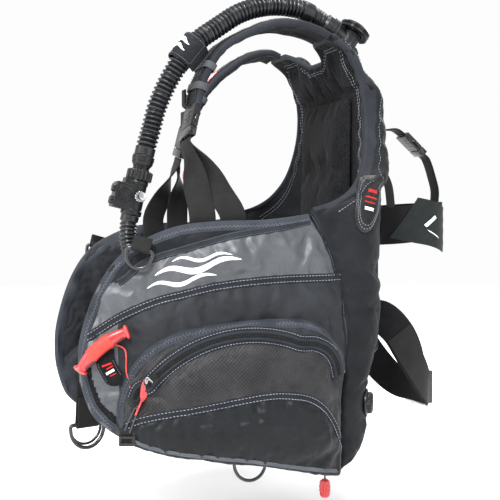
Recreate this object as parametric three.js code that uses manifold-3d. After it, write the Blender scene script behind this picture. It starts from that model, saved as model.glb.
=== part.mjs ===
// Buoyancy compensator vest for scuba diving, as worn, empty of tank and diver.
// Frame: millimetres, +Z up, the diver faces -Y and the diver's left side is +X.
// The origin is the middle of the tank face of the moulded backplate.
import * as THREE from "three";
import { mergeVertices } from "three/addons/utils/BufferGeometryUtils.js";
import Module from "manifold-3d";

const wasm = await Module();
wasm.setup();

// ---- Driving dimensions ----
const BACK_HALF = 95; // straight half width of the back, before the side corner
const BACK_Y = -18; // middle surface of the rear air cell
const CORNER_R = 60; // side corner, seen from above
const CORNER_TURN = THREE.MathUtils.degToRad(86);
const LOBE_R = 760; // slow inward curve of each front lobe
const SEAM_S = 174; // arc length from the spine to the side seam
const LOBE_END = 552; // arc length from the spine to the front edge of a lobe
const RIM = 4; // half thickness at a bound edge
const LOBE_PUFF = 8; // how far a lobe's outside swells past its rim
const POCKET_IN = 13.4; // inner face of a cargo pocket, off the middle surface
const PLATE_HALF = 84;
const PLATE_HEIGHT = 320;
const PLATE_THICK = 5;
const BAND_WIDTH = 50;
const BAND_THICK = 2.6;
const LOOP_DEPTH = 122; // how far the empty tank loops stand out behind the plate
const STRAP_THICK = 11;
const HOSE_R = 13;
const YOKE_THICK = 10;
const YOKE_LIFT = 5; // clear of the rear cell's top edge

// ---- Small tools ----
const V = (x, y, z) => new THREE.Vector3(x, y, z);
const clamp = THREE.MathUtils.clamp;
const lerp = THREE.MathUtils.lerp;
const step = (x, a, b) => THREE.MathUtils.smoothstep(x, a, b);
const object = new THREE.Group();

// A smooth function through [x, y] knots, flat beyond the first and the last.
function through(knots) {
  const slope = knots.map((k, i) => {
    const a = knots[Math.max(i - 1, 0)];
    const b = knots[Math.min(i + 1, knots.length - 1)];
    return (b[1] - a[1]) / (b[0] - a[0]);
  });
  return (x) => {
    const last = knots.length - 1;
    if (x <= knots[0][0]) return knots[0][1];
    if (x >= knots[last][0]) return knots[last][1];
    const i = knots.findIndex((k) => k[0] > x) - 1;
    const w = knots[i + 1][0] - knots[i][0];
    const t = (x - knots[i][0]) / w;
    const a = knots[i][1];
    const b = knots[i + 1][1];
    const bend = (1 - t) * w * slope[i] - t * w * slope[i + 1] + (2 * t - 1) * (b - a);
    return lerp(a, b, t) + t * (1 - t) * bend;
  };
}

// One closed body: merged corners, faces out.
function closed(geometry) {
  const bare = new THREE.BufferGeometry();
  bare.setAttribute("position", geometry.getAttribute("position").clone());
  if (geometry.index) bare.setIndex(geometry.index.clone());
  const merged = mergeVertices(bare, 1e-3);
  const p = merged.attributes.position;
  const index = merged.index.array;
  let volume = 0;
  const corner = [V(), V(), V()];
  for (let i = 0; i < index.length; i += 3) {
    corner.forEach((c, k) => c.fromBufferAttribute(p, index[i + k]));
    volume += corner[0].dot(corner[1].clone().cross(corner[2]));
  }
  if (volume < 0)
    for (let i = 0; i < index.length; i += 3)
      [index[i + 1], index[i + 2]] = [index[i + 2], index[i + 1]];
  return merged;
}

// A box of nx by ny by 1 cells whose corners are moved by place(a, b, c), each from 0 to 1.
function bent(nx, ny, place) {
  const box = new THREE.BoxGeometry(1, 1, 1, nx, ny, 1);
  const p = box.attributes.position;
  for (let i = 0; i < p.count; i++) {
    const to = place(p.getX(i) + 0.5, p.getY(i) + 0.5, Math.round(p.getZ(i) + 0.5));
    p.setXYZ(i, to.x, to.y, to.z);
  }
  return closed(box);
}

function solid(geometry) {
  const g = closed(geometry);
  return new wasm.Manifold(
    new wasm.Mesh({
      numProp: 3,
      vertProperties: g.attributes.position.array,
      triVerts: new Uint32Array(g.index.array),
    }),
  );
}

function surface(made) {
  const mesh = made.getMesh();
  const g = new THREE.BufferGeometry();
  g.setAttribute("position", new THREE.BufferAttribute(mesh.vertProperties, 3));
  g.setIndex(new THREE.BufferAttribute(mesh.triVerts, 1));
  return g;
}

const joined = (...parts) => surface(parts.map(solid).reduce((a, b) => a.add(b)));
const cut = (from, ...tools) =>
  surface(tools.map(solid).reduce((a, b) => a.subtract(b), solid(from)));

function add(name, geometry, material, parent = object) {
  const mesh = new THREE.Mesh(geometry, material);
  mesh.name = name;
  parent.add(mesh);
  return mesh;
}

const box = (w, d, h, x = 0, y = 0, z = 0) => new THREE.BoxGeometry(w, d, h).translate(x, y, z);

// A round bar along +Z from z0 to z1.
const bar = (r, z0, z1, x = 0, y = 0, sides = 20, r1 = r) =>
  new THREE.CylinderGeometry(r1, r, z1 - z0, sides)
    .rotateX(Math.PI / 2)
    .translate(x, y, (z0 + z1) / 2);

// The same bar laid from one point towards a direction.
function barFrom(start, direction, length, r, sides = 20, r1 = r) {
  const turn = new THREE.Quaternion().setFromUnitVectors(V(0, 0, 1), direction.clone().normalize());
  return bar(r, 0, length, 0, 0, sides, r1)
    .applyQuaternion(turn)
    .translate(start.x, start.y, start.z);
}

// A turned piece from [radius, z] points that close on themselves or on the axis.
const turned = (points, sides = 20) =>
  new THREE.LatheGeometry(points.map(([r, z]) => new THREE.Vector2(r, z)), sides).rotateX(
    Math.PI / 2,
  );

// A round tube along a smooth line.
function tube(points, r, steps, sides = 8) {
  const ring = new THREE.Shape(
    Array.from({ length: sides }, (_, i) => {
      const t = (i / sides) * 2 * Math.PI;
      return new THREE.Vector2(r * Math.cos(t), r * Math.sin(t));
    }),
  );
  return new THREE.ExtrudeGeometry(ring, {
    steps,
    extrudePath: new THREE.CatmullRomCurve3(points, false, "centripetal"),
  });
}

// Flat webbing along a line, as wide as width(t), across the given direction.
function ribbon(points, width, thick, across, steps) {
  const line = new THREE.CatmullRomCurve3(points, false, "centripetal");
  return bent(steps, 1, (a, b, c) => {
    const along = line.getTangentAt(a);
    const side = across(a).clone();
    side.addScaledVector(along, -side.dot(along)).normalize();
    const face = along.clone().cross(side);
    return line
      .getPointAt(a)
      .addScaledVector(side, (b - 0.5) * width(a))
      .addScaledVector(face, (c - 0.5) * thick);
  });
}

// ---- Materials ----
const finish = (color, roughness, metalness = 0) =>
  new THREE.MeshStandardMaterial({ color, roughness, metalness });
const nylon = finish(0x23262a, 0.85);
const coated = finish(0x2b3036, 0.5);
const mesh3d = finish(0x15171a, 0.95);
const webbing = finish(0x1c1d1f, 0.9);
const plastic = finish(0x16181a, 0.4);
const rubber = finish(0x24272b, 0.6);
const redPlastic = finish(0xe02a2e, 0.4);
const steel = finish(0xb9bcc0, 0.25, 1);
const blackSteel = finish(0x1a1b1d, 0.3, 0.8);
const hook = finish(0x101114, 1);

// ---- The vest's middle surface, unrolled as arc length s from the spine and height z ----
function plan(s) {
  const cornerEnd = BACK_HALF + CORNER_R * CORNER_TURN;
  if (s <= BACK_HALF) return { x: s, y: BACK_Y, heading: 0 };
  if (s <= cornerEnd) {
    const t = (s - BACK_HALF) / CORNER_R;
    return {
      x: BACK_HALF + CORNER_R * Math.sin(t),
      y: BACK_Y - CORNER_R * (1 - Math.cos(t)),
      heading: -t,
    };
  }
  const from = plan(cornerEnd);
  const heading = from.heading - (s - cornerEnd) / LOBE_R;
  return {
    x: from.x + LOBE_R * (Math.sin(from.heading) - Math.sin(heading)),
    y: from.y - LOBE_R * (Math.cos(from.heading) - Math.cos(heading)),
    heading,
  };
}

// The back leans forward at the shoulders and tucks in below the waist.
const lean = (s, z) =>
  (-8 * Math.max(0, (z - 150) / 88) ** 2 - 26 * step(-z, 40, 230)) * (1 - step(s, 130, 330));

// A point of the vest: side is 1 on the left and -1 on the right, off is outwards.
function wrap(side, s, z, off) {
  const p = plan(Math.abs(s));
  return V(
    side * (p.x - off * Math.sin(p.heading)),
    p.y + off * Math.cos(p.heading) + lean(Math.abs(s), z),
    z,
  );
}

// Axes on the left outside: z outwards, y up and x to the rear, then turned about z by angle.
function patch(s, z, off, angle) {
  const turn = THREE.MathUtils.degToRad(angle);
  const heading = plan(s).heading;
  const out = V(-Math.sin(heading), Math.cos(heading), 0);
  const rear = V(-Math.cos(heading), -Math.sin(heading), 0);
  const x = rear.multiplyScalar(Math.cos(turn)).add(V(0, 0, Math.sin(turn)));
  return new THREE.Matrix4().makeBasis(x, out.clone().cross(x), out).setPosition(wrap(1, s, z, off));
}

const lobeTop = through([
  [239, 50], [303, 42], [366, 40], [419, 34], [460, 19], [492, 0], [520, -34], [540, -78],
  [LOBE_END, -125],
]);
const lobeBottom = through([
  [SEAM_S, -307], [246, -297], [339, -281], [440, -265], [500, -243], [534, -215], [LOBE_END, -170],
]);
const seam = through([[SEAM_S, -126], [188, -76], [202, -26], [220, 20], [239, 50]]);
const cellTop = through([
  [0, 238], [112, 238], [122, 214], [130, 172], [150, 118], [176, 84], [205, 66], [239, 57],
]);
const cellBottom = through([[0, -232], [90, -262], [150, -296], [SEAM_S, -306]]);
const pocketTop = through([
  [182, -150], [202, -124], [226, -106], [260, -96], [339, -97], [418, -110], [460, -132],
  [485, -166], [498, -205],
]);
const swell = (t) => 1 - (2 * t - 1) ** 6;

// A closed pad whose columns stand at the given arc lengths.
function pad(side, stations, rows, top, bottom, outer, inner) {
  const last = stations.length - 1;
  return bent(last, rows, (a, b, c) => {
    const s = stations[Math.round(a * last)];
    const z = lerp(bottom(s), top(s), b);
    const shape = c ? outer : inner;
    return wrap(side || Math.sign(s) || 1, s, z, shape(Math.abs(s), z, a, b));
  });
}

// ---- Back ----
const backInner = (z) => -RIM - 9 * swell(clamp((z + 232) / 470, 0, 1));
function rearAirCell() {
  const half = [30, 60, 78, 95, 112, 122, 130, 150, 173.4, SEAM_S, 188, 202, 220, 239];
  const stations = [...half.map((s) => -s).reverse(), 0, ...half];
  const bottom = (s) => (Math.abs(s) < SEAM_S ? cellBottom(Math.abs(s)) : seam(Math.abs(s)));
  const plateBed = (s, z) => (1 - step(s, 78, 96)) * (1 - step(Math.abs(z), 172, 200));
  return pad(
    0, stations, 8, (s) => cellTop(Math.abs(s)), bottom,
    (s, z, a, b) => RIM + 14 * swell(b) * (1 - plateBed(s, z)) * (1 - step(s, 150, 239)),
    (s, z) => backInner(z) * (1 - step(s, 150, 239)) - RIM * step(s, 150, 239),
  );
}
const backPad = () =>
  pad(
    0, [-88, -60, -30, 0, 30, 60, 88], 6, () => 226, () => -196,
    (s, z) => backInner(z) - 2,
    (s, z, a, b) => backInner(z) - 5 - 9 * swell(a) * swell(b),
  );

function backplate() {
  const face = new THREE.Shape([
    [-PLATE_HALF, 14], [-50, 0], [50, 0], [PLATE_HALF, 14],
    [PLATE_HALF, 14 - PLATE_THICK], [50, -PLATE_THICK], [-50, -PLATE_THICK],
    [-PLATE_HALF, 14 - PLATE_THICK],
  ].map(([x, y]) => new THREE.Vector2(x, y)));
  const blank = new THREE.ExtrudeGeometry(face, { depth: PLATE_HEIGHT, bevelEnabled: false })
    .translate(0, 0, -PLATE_HEIGHT / 2);
  const slots = [UPPER_Z, LOWER_Z].flatMap((z) =>
    [-1, 1].map((side) => box(15, 40, BAND_WIDTH + 8, side * 68.5, 5, z)),
  );
  const corners = [-1, 1].flatMap((x) =>
    [-1, 1].map((z) =>
      box(60, 60, 60).rotateY(Math.PI / 4).translate(x * (PLATE_HALF + 14), 5, z * (PLATE_HEIGHT / 2 + 14)),
    ),
  );
  const window = box(44, 40, 60, 0, 0, 112);
  return cut(blank, ...slots, ...corners, window);
}

// The yoke behind the neck, from the top of the rear cell to the shoulder pads.
const yokeLine = new THREE.CatmullRomCurve3([
  V(0, -26, 239), V(0, -38, 264), V(0, -57, 285), V(0, -80, 299),
]);
function neckYoke() {
  const halfWidth = 120;
  return bent(20, 4, (a, b, c) => {
    const x = lerp(-halfWidth, halfWidth, a);
    const reach = 1 - 0.42 * (1 - step(Math.abs(x), 20, 62));
    const t = b * reach;
    const p = yokeLine.getPointAt(t);
    const tangent = yokeLine.getTangentAt(t);
    const bow = -CORNER_R + Math.sqrt(CORNER_R ** 2 - Math.max(0, Math.abs(x) - BACK_HALF) ** 2);
    p.addScaledVector(V(0, tangent.z, -tangent.y), (c - 0.5) * YOKE_THICK);
    return p.add(V(x, bow * (1 - b), YOKE_LIFT));
  });
}

function grabHandle() {
  const line = [V(-46, -10, 196), V(-44, 10, 202), V(-22, 26, 206), V(22, 26, 206), V(44, 10, 202), V(46, -10, 196)];
  return ribbon(line, () => 26, 5, () => V(0, 0.2, 1), 14);
}

// ---- Lobes and pockets ----
const lobeOuter = (s, z, a, b) => RIM + LOBE_PUFF * swell(b) * (1 - a ** 6);
function lobe(side) {
  const stations = [SEAM_S + 0.8, 188, 202, 220, 239, 264, 303, 345, 385, 419, 448, 475, 500, 520, 538, LOBE_END];
  const top = (s) => (s < 240 ? seam(s) - 4.5 : lobeTop(s));
  return pad(side, stations, 8, top, lobeBottom, lobeOuter, (s, z, a, b) => -RIM - 6 * swell(b) * (1 - a ** 6));
}

const pocketRise = through([[0, 0.5], [0.3, 1], [0.62, 0.86], [1, 0.1]]);
const pocketOuter = (s, z, a, b) =>
  POCKET_IN + 3 + 24 * pocketRise(b) * Math.sqrt(Math.max(0.02, 1 - (2 * a - 1) ** 6));
function cargoPocket(side, extra = 0) {
  const stations = [182, 192, 205, 222, 242, 262, 300, 340, 380, 420, 445, 465, 480, 490, 498];
  return pad(side, stations, 10, pocketTop, (s) => lobeBottom(s) - 2,
    (s, z, a, b) => pocketOuter(s, z, a, b) + extra, () => POCKET_IN);
}

// ---- The pocket zips ----
// Each zip is an arc about a point below it, and its outside is flat so that the slider can run.
const ZIP = { s: 327, z: -290, r: 181, base: 360, off: 28.5, from: 46, to: -21, width: 17 };
const zipCentre = () => patch(ZIP.base, ZIP.z, ZIP.off, 0);
function zipInFrame(degrees, reach, height) {
  const t = THREE.MathUtils.degToRad(degrees);
  return V(ZIP.base - ZIP.s - reach * Math.sin(t), reach * Math.cos(t), height);
}

function zipTape() {
  const blank = bent(26, 1, (a, b, c) => {
    const degrees = lerp(ZIP.from + 4, ZIP.to - 3, a);
    return zipInFrame(degrees, ZIP.r + (b - 0.5) * ZIP.width, (c - 1) * 12);
  });
  return cut(blank.applyMatrix4(zipCentre()), cargoPocket(1, 0.5));
}

// Slider body with a hanging pull, built at the front end of the zip.
function zipSlider() {
  const body = joined(
    box(9, 12, 5, 0, 0, 3.1),
    box(4, 7, 5, 0, 0, 7),
    box(8, 34, 3, 0, -20, 8.6),
  );
  return body
    .rotateZ(THREE.MathUtils.degToRad(90 + ZIP.from))
    .translate(...zipInFrame(ZIP.from, ZIP.r, 0).toArray())
    .applyMatrix4(zipCentre());
}

// ---- Shoulder straps, buckles and chest webbing ----
const acrossX = () => V(1, 0, 0);
const leftStrap = [
  V(94, -83, 304), V(94, -98, 310.5), V(95, -125, 316), V(95, -160, 316.5), V(95, -197, 303),
  V(94, -240, 277), V(93, -264, 238), V(98, -276, 200),
];
const rightStrap = [
  V(-94, -83, 304), V(-94, -98, 308.5), V(-95, -130, 302), V(-95, -170, 277), V(-94, -198, 250),
  V(-92.5, -216, 222), V(-98, -229, 190),
];
const padWidth = through([[0, 56], [0.2, 66], [0.6, 60], [1, 46]]);
const shoulderPad = (line) => ribbon(line, padWidth, STRAP_THICK, acrossX, 22);

// A side-release buckle: the mouth is at the origin and the socket reaches up +Z.
function socket(width, thick = 10) {
  return cut(
    box(width, thick, 32, 0, 0, 16),
    box(width - 7, thick - 4.4, 20, 0, 0, 9),
    box(width + 10, thick - 4.4, 8, 0, 0, 11),
  );
}

function prong(width, thick = 10) {
  const arm = (side) => box(4, thick - 6, 16, side * (width / 2 - 7.5), 0, 5.5);
  return joined(
    box(width, thick, 12, 0, 0, -7),
    box(width - 24, thick - 6, 17, 0, 0, 6),
    arm(1),
    arm(-1),
  );
}

// Stands a piece built along +Z at a point, with +Z along up and +X near side.
function stand(geometry, at, up, side) {
  const z = up.clone().normalize();
  const y = z.clone().cross(side).normalize();
  return geometry.applyMatrix4(new THREE.Matrix4().makeBasis(y.clone().cross(z), y, z).setPosition(at));
}
const along = (at, up, distance) => at.clone().addScaledVector(up.clone().normalize(), distance);

const LEFT_UP = V(-14, 22, 86);
const RIGHT_UP = V(14, 16, 76);
const leftMouth = along(V(98, -276, 200), LEFT_UP, -34.5);
const rightMouth = along(V(-98, -229, 190), RIGHT_UP, -34.5);
// Two legs of webbing from the prong to the inside of the lobe.
function chestWebbing(side, mouth, up) {
  const start = along(mouth, up, -14.2);
  const twist = (a) => V(1, 0, 0).lerp(V(0.18, side, 0), step(a, 0.05, 0.7));
  const leg = (s) => {
    const foot = [wrap(side, s, 50, -13.5), wrap(side, s, 22, -14.5), wrap(side, s, -6, -16)];
    const line = [start, along(mouth, up, -24), start.clone().lerp(foot[0], 0.6), ...foot];
    return ribbon(line, () => 36, 2.4, twist, 16);
  };
  return joined(leg(388), leg(346));
}

// ---- Sternum strap ----
const STERNUM_LEFT = V(38, -264, 209);
const STERNUM_RIGHT = V(-10, -248, 206);
const sternumUp = STERNUM_LEFT.clone().sub(STERNUM_RIGHT);
const sternumMouth = STERNUM_LEFT.clone().lerp(STERNUM_RIGHT, 0.7);

// ---- Tank bands ----
const UPPER_Z = 36;
const LOWER_Z = -100;
function tankBand(z, width, depth, half, droop, tail) {
  const fall = (y) => z - droop * step(y, 22, depth);
  const layer = BAND_THICK + 0.9;
  const line = [
    [30, depth], [-18, depth + 0.2], [-48, depth - 10], [-half + 2, depth - 42], [-half, depth * 0.4],
    [-73, 24], [-71, 10], [-67.5, -3], [-58, -8.8], [0, -9.2], [58, -8.8], [67.5, -3], [71, 10],
    [73, 24], [half, depth * 0.4], [half - 2, depth - 42], [52, depth - 8], [26, depth + layer],
    [tail, depth + layer],
  ].map(([x, y]) => V(x, y, fall(y)));
  return ribbon(line, () => width, BAND_THICK, () => V(0, 0, 1), 84);
}

const CAM_Y = LOOP_DEPTH + 2 * BAND_THICK + 1.6;
const LOWER_DROOP = 118;
const CAM_Z = LOWER_Z - LOWER_DROOP;
const CAM_PIN = { x: -34, y: 8.5, r: 2.5 };
function camFrame() {
  const cheek = (z) => box(24, 14, 3.4, CAM_PIN.x + 2, 7, z);
  const blank = joined(
    box(66, 4, BAND_WIDTH + 10, -12, 2, 0),
    cheek(BAND_WIDTH / 2 + 3.3),
    cheek(-BAND_WIDTH / 2 - 3.3),
  );
  return cut(blank, bar(CAM_PIN.r + 0.4, -60, 60, CAM_PIN.x, CAM_PIN.y)).translate(0, CAM_Y, CAM_Z);
}
const camPin = () =>
  bar(CAM_PIN.r, -34, 34, CAM_PIN.x, CAM_PIN.y).translate(0, CAM_Y, CAM_Z);
function camLever() {
  const half = BAND_WIDTH / 2 + 0.8;
  const blank = joined(
    bar(4.2, -half, half, CAM_PIN.x, CAM_PIN.y),
    box(54, 4, 2 * half, CAM_PIN.x + 27, CAM_PIN.y, 0),
    box(6, 7, 2 * half, CAM_PIN.x + 52, CAM_PIN.y + 1, 0),
  );
  return cut(blank, bar(CAM_PIN.r + 0.3, -60, 60, CAM_PIN.x, CAM_PIN.y)).translate(0, CAM_Y, CAM_Z);
}

// The thin strap from the top of the plate down to the upper band.
const UPPER_DEPTH = 146;
const strapEnd = V(0, 97, 181);
const UPPER_UP = V(0, -0.75, 0.66);
const upperMouth = along(strapEnd, UPPER_UP, -33.2);
const upperStrap = () =>
  ribbon(
    [V(0, -9.4, 138), V(0, -9.4, 158), V(0, -2, 170), V(0, 22, 178), V(0, 62, 186), V(0, 84, 188), strapEnd],
    () => 25, 2.4, acrossX, 26,
  );
const upperTail = () =>
  ribbon(
    [
      along(upperMouth, UPPER_UP, -14.2), along(upperMouth, UPPER_UP, -24), V(0, 152, 112),
      V(0, 157, 92), V(0, UPPER_DEPTH + 9, 62), V(0, UPPER_DEPTH + 8.4, 20),
    ],
    () => 25, 2.4, acrossX, 20,
  );

// ---- Inflator ----
const VALVE_OUT = V(0, 0.55, 0.835).normalize();
const VALVE_AT = V(76, -43.5, 290.5);
const STUB = V(0.05, -0.83, 0.546).normalize();
const stubRoot = along(VALVE_AT, VALVE_OUT, 17.6);
const hoseStart = along(stubRoot, STUB, 36.6);
const hoseLine = [
  hoseStart, along(hoseStart, STUB, 14), V(84, -109, 345), V(92, -158, 346), V(100, -206, 332),
  V(105, -245, 307), V(109, -277, 283), V(110, -298, 257), V(107, -314, 230), V(103, -328, 197),
  V(100, -337, 163), V(100, -343, 142), V(100, -346, 130),
];
const INFLATOR_UP = V(0, 0.23, 0.97);
const inflatorTop = along(V(100, -346, 130), INFLATOR_UP, -0.8);
const inInflator = (geometry) => stand(geometry, inflatorTop, INFLATOR_UP, V(1, 0, 0));
const BUTTON = { inflate: -51, deflate: -68, r: 5.6 };
function inflatorBody() {
  const core = turned([
    [0, 0], [14.6, 0], [14.6, -12], [11.5, -14], [11.5, -20], [17.5, -22], [17.5, -34],
    [13.5, -36], [13.5, -82], [0, -82],
  ]);
  const block = box(27, 24, 36, 0, -17, -59);
  const well = (z) => barFrom(V(0, -17.8, z), V(0, -1, 0), 30, BUTTON.r + 0.4);
  return cut(joined(core, block), well(BUTTON.inflate), well(BUTTON.deflate));
}
const button = (z) => barFrom(V(0, -23.2, z), V(0, -1, 0), 9.8, BUTTON.r);

// Hook and loop keeper that holds the hose to the left shoulder pad.
function hoseKeeper() {
  const centre = V(108, -287, 270.5);
  const hoseAlong = V(0.03, -0.63, -0.78).normalize();
  const toPad = V(-0.23, 0.755, -0.617).normalize();
  const side = hoseAlong.clone().cross(toPad).normalize();
  const at = (e, f) => centre.clone().addScaledVector(toPad, e).addScaledVector(side, f);
  const line = [
    at(19, 9.5), at(11, 14.5), at(0, 17.2), at(-12.2, 12.2), at(-17.2, 0), at(-12.2, -12.2),
    at(0, -17.2), at(11, -14.5), at(19, -9.5),
  ];
  return ribbon(line, () => 40, 2.4, () => hoseAlong, 32);
}

// ---- D-rings and their webbing keepers ----
function ringShape(width, height, wire) {
  const half = width / 2;
  const r = 6;
  const points = [];
  for (let i = 0; i <= 8; i++) {
    const t = Math.PI * (i / 8);
    points.push(V(half * Math.cos(t), -r - (height - r) * Math.sin(t), 0));
  }
  points.push(V(-half + 1, -2, 0), V(-half + r, 0, 0), V(0, 0, 0), V(half - r, 0, 0), V(half - 1, -2, 0));
  return closed(
    new THREE.TubeGeometry(new THREE.CatmullRomCurve3(points, true, "centripetal"), 44, wire, 8, true),
  );
}

// A folded strip around a bar at the origin: +Y away from the ring, +Z off the fabric.
const keeper = (width, reach) =>
  ribbon(
    [V(0, reach, -3.4), V(0, 6, -3.4), V(0, 0, -3.6), V(0, -3.8, 0), V(0, 0, 3.6), V(0, 6, 3.4), V(0, reach, 3.4)],
    () => width, 1.8, acrossX, 22,
  );
const LOBE_RING = patch(470, 4, 18.5, -14);
const HIP_RING = patch(320, -283, -19.5, 0);
const WAIST_RING = patch(512, -262, -22, 0);
const placed = (geometry, matrix) => geometry.applyMatrix4(matrix);
const mirrored = (geometry) => closed(geometry.scale(-1, 1, 1));

function waistStrap() {
  const at = (off, z, s) => wrap(-1, s, z, off);
  return ribbon(
    [
      at(-15, -96, 494), at(-15.5, -150, 501), at(-17, -205, 508), at(-18.6, -254, 512), at(-18, -262, 512),
      at(-22, -266.6, 512), at(-26, -262, 512), at(-25.4, -254, 512), at(-24, -222, 510),
    ],
    () => 38, 1.8, () => V(0.36, -0.93, 0), 40,
  );
}

// ---- Ripcord ----
const RIPCORD = patch(520, -125, 17, 39.5);
function ripcordHandle() {
  const grip = new THREE.CapsuleGeometry(7, 56, 4, 14).rotateZ(Math.PI / 2);
  const flare = (x) => new THREE.SphereGeometry(1, 16, 10).scale(9, 13, 9.5).translate(x, 0, 0);
  return joined(grip, flare(38), flare(-38)).translate(0, 0, 5);
}
const ripcordTab = () =>
  ribbon(
    [wrap(1, 521, -132, 11.6), wrap(1, 512, -148, 12.2), wrap(1, 502, -165, 13)],
    () => 24, 2.2, () => V(-0.31, -0.82, -0.49), 8,
  );

// ---- Dump valves ----
function dumpValve() {
  return turned([[0, 0], [20, 0], [20, 3], [15.5, 4], [15.5, 9], [13, 11.5], [0, 12]]);
}
const RIGHT_VALVE = V(-76, -43.5, 290.5);
const knob = (length, r, cord) =>
  joined(
    bar(1.3, -2, cord, 0, 0, 8),
    turned([[0, 0.6], [r * 0.6, 0], [r, -length * 0.3], [r, -length * 0.8], [r * 0.7, -length], [0, -length]]),
  );

// ---- Everything in place ----
add("rear_air_cell", rearAirCell(), nylon);
add("back_pad", backPad(), mesh3d);
add("neck_yoke", neckYoke(), nylon);
add("backplate", backplate(), plastic);
add("grab_handle", grabHandle(), webbing);

for (const side of [1, -1]) {
  const word = side > 0 ? "left" : "right";
  const turn = (geometry) => (side > 0 ? geometry : mirrored(geometry));
  const mouth = side > 0 ? leftMouth : rightMouth;
  const up = side > 0 ? LEFT_UP : RIGHT_UP;
  add(`lobe_${word}`, lobe(side), coated);
  add(`cargo_pocket_${word}`, cargoPocket(side), nylon);
  add(`pocket_zip_${word}`, turn(zipTape()), rubber);
  add(`zip_slider_${word}`, turn(zipSlider()), redPlastic);
  add(`shoulder_pad_${word}`, shoulderPad(side > 0 ? leftStrap : rightStrap), nylon);
  add(`shoulder_socket_${word}`, stand(socket(46), mouth, up, V(1, 0, 0)), plastic);
  add(`shoulder_prong_${word}`, stand(prong(46), mouth, up, V(1, 0, 0)), plastic);
  add(`chest_webbing_${word}`, chestWebbing(side, mouth, up), webbing);
  add(`lobe_ring_keeper_${word}`, turn(placed(keeper(24, 24), LOBE_RING)), webbing);
  add(`lobe_ring_${word}`, turn(placed(ringShape(34, 25, 1.9), LOBE_RING)), blackSteel);
}
add("hip_ring_keeper", placed(keeper(30, 26), HIP_RING), webbing);
add("hip_ring", placed(ringShape(44, 30, 1.9), HIP_RING), blackSteel);
add("waist_strap", waistStrap(), webbing);
add("waist_ring", mirrored(placed(ringShape(58, 36, 2), WAIST_RING)), blackSteel);

const upAxis = () => V(0, 0, 1);
add(
  "sternum_strap_left",
  ribbon([V(91, -285.5, 212), V(74, -284.5, 212), along(sternumMouth, sternumUp, 33)], () => 22, 2, upAxis, 8),
  webbing,
);
add("sternum_socket", stand(socket(30, 9), sternumMouth, sternumUp, V(0, 0, 1)), plastic);
add("sternum_prong", stand(prong(30, 9), sternumMouth, sternumUp, V(0, 0, 1)), plastic);
add(
  "sternum_strap_right",
  ribbon([along(sternumMouth, sternumUp, -14), V(-70, -238, 202), V(-92, -238, 202)], () => 22, 2, upAxis, 8),
  webbing,
);

add("tank_band_lower", tankBand(LOWER_Z, BAND_WIDTH, LOOP_DEPTH, 76, LOWER_DROOP, -50), webbing);
add("cam_frame", camFrame(), plastic);
add("cam_pin", camPin(), steel);
add("cam_lever", camLever(), plastic);
add("tank_band_upper", tankBand(UPPER_Z, BAND_WIDTH + 6, UPPER_DEPTH, 78, -10, -52), hook);
add("upper_strap", upperStrap(), webbing);
add("upper_socket", stand(socket(30), upperMouth, UPPER_UP, V(1, 0, 0)), plastic);
add("upper_prong", stand(prong(30), upperMouth, UPPER_UP, V(1, 0, 0)), plastic);
add("upper_strap_tail", upperTail(), webbing);

const onValve = (geometry, at = VALVE_AT) => stand(geometry, at, VALVE_OUT, V(1, 0, 0));
add("valve_flange", onValve(turned([[0, 0], [26, 0], [26, 2.5], [22, 4], [0, 4]], 24)), plastic);
add(
  "hose_elbow",
  joined(
    onValve(turned([[0, 4.6], [19, 4.6], [19, 9], [15, 11], [15, 31], [0, 31]])),
    barFrom(stubRoot, STUB, 36, 11.6),
  ),
  plastic,
);
add("elbow_cap", onValve(turned([[0, 31.6], [22, 31.6], [24, 34], [24, 40], [21, 42.5], [0, 43]], 24)), plastic);
add(
  "hose_cuff",
  cut(barFrom(along(stubRoot, STUB, 26), STUB, 20, 17), barFrom(along(stubRoot, STUB, 20), STUB, 30, 14.4)),
  rubber,
);
add("inflator_hose", tube(hoseLine, HOSE_R, 56, 10), rubber);
add("hose_keeper", hoseKeeper(), hook);
add("inflator_body", inInflator(inflatorBody()), plastic);
add("inflate_button", inInflator(button(BUTTON.inflate)), plastic);
add("deflate_button", inInflator(button(BUTTON.deflate)), plastic);
add("quick_nipple", inInflator(barFrom(V(14.1, 4, -56), V(1, 0, 0), 17, 5, 16)), steel);
add(
  "oral_tube",
  tube([along(inflatorTop, INFLATOR_UP, -83), along(inflatorTop, INFLATOR_UP, -92), V(98, -368, 20), V(93, -362, -4), V(86, -352, -28)], 11, 16, 10),
  rubber,
);

add("dump_valve_right", onValve(dumpValve(), RIGHT_VALVE), plastic);
add("dump_knob", knob(20, 9, 62).translate(-74.5, -231, 123), redPlastic);
add("dump_valve_lower", placed(dumpValve(), patch(128, -215, 21.5, 0)), plastic);
add("dump_toggle", knob(26, 8, 36).translate(141, -98, -318), redPlastic);
add("ripcord_handle", placed(ripcordHandle(), RIPCORD), redPlastic);
add("ripcord_tab", ripcordTab(), webbing);

export default object;
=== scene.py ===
"""Looks of the buoyancy compensator vest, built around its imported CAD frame.

Metres, +Z up, the diver faces -Y.
"""
import math
import bmesh
import bpy
from mathutils import Matrix, Vector, noise
from mathutils.bvhtree import BVHTree


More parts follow.
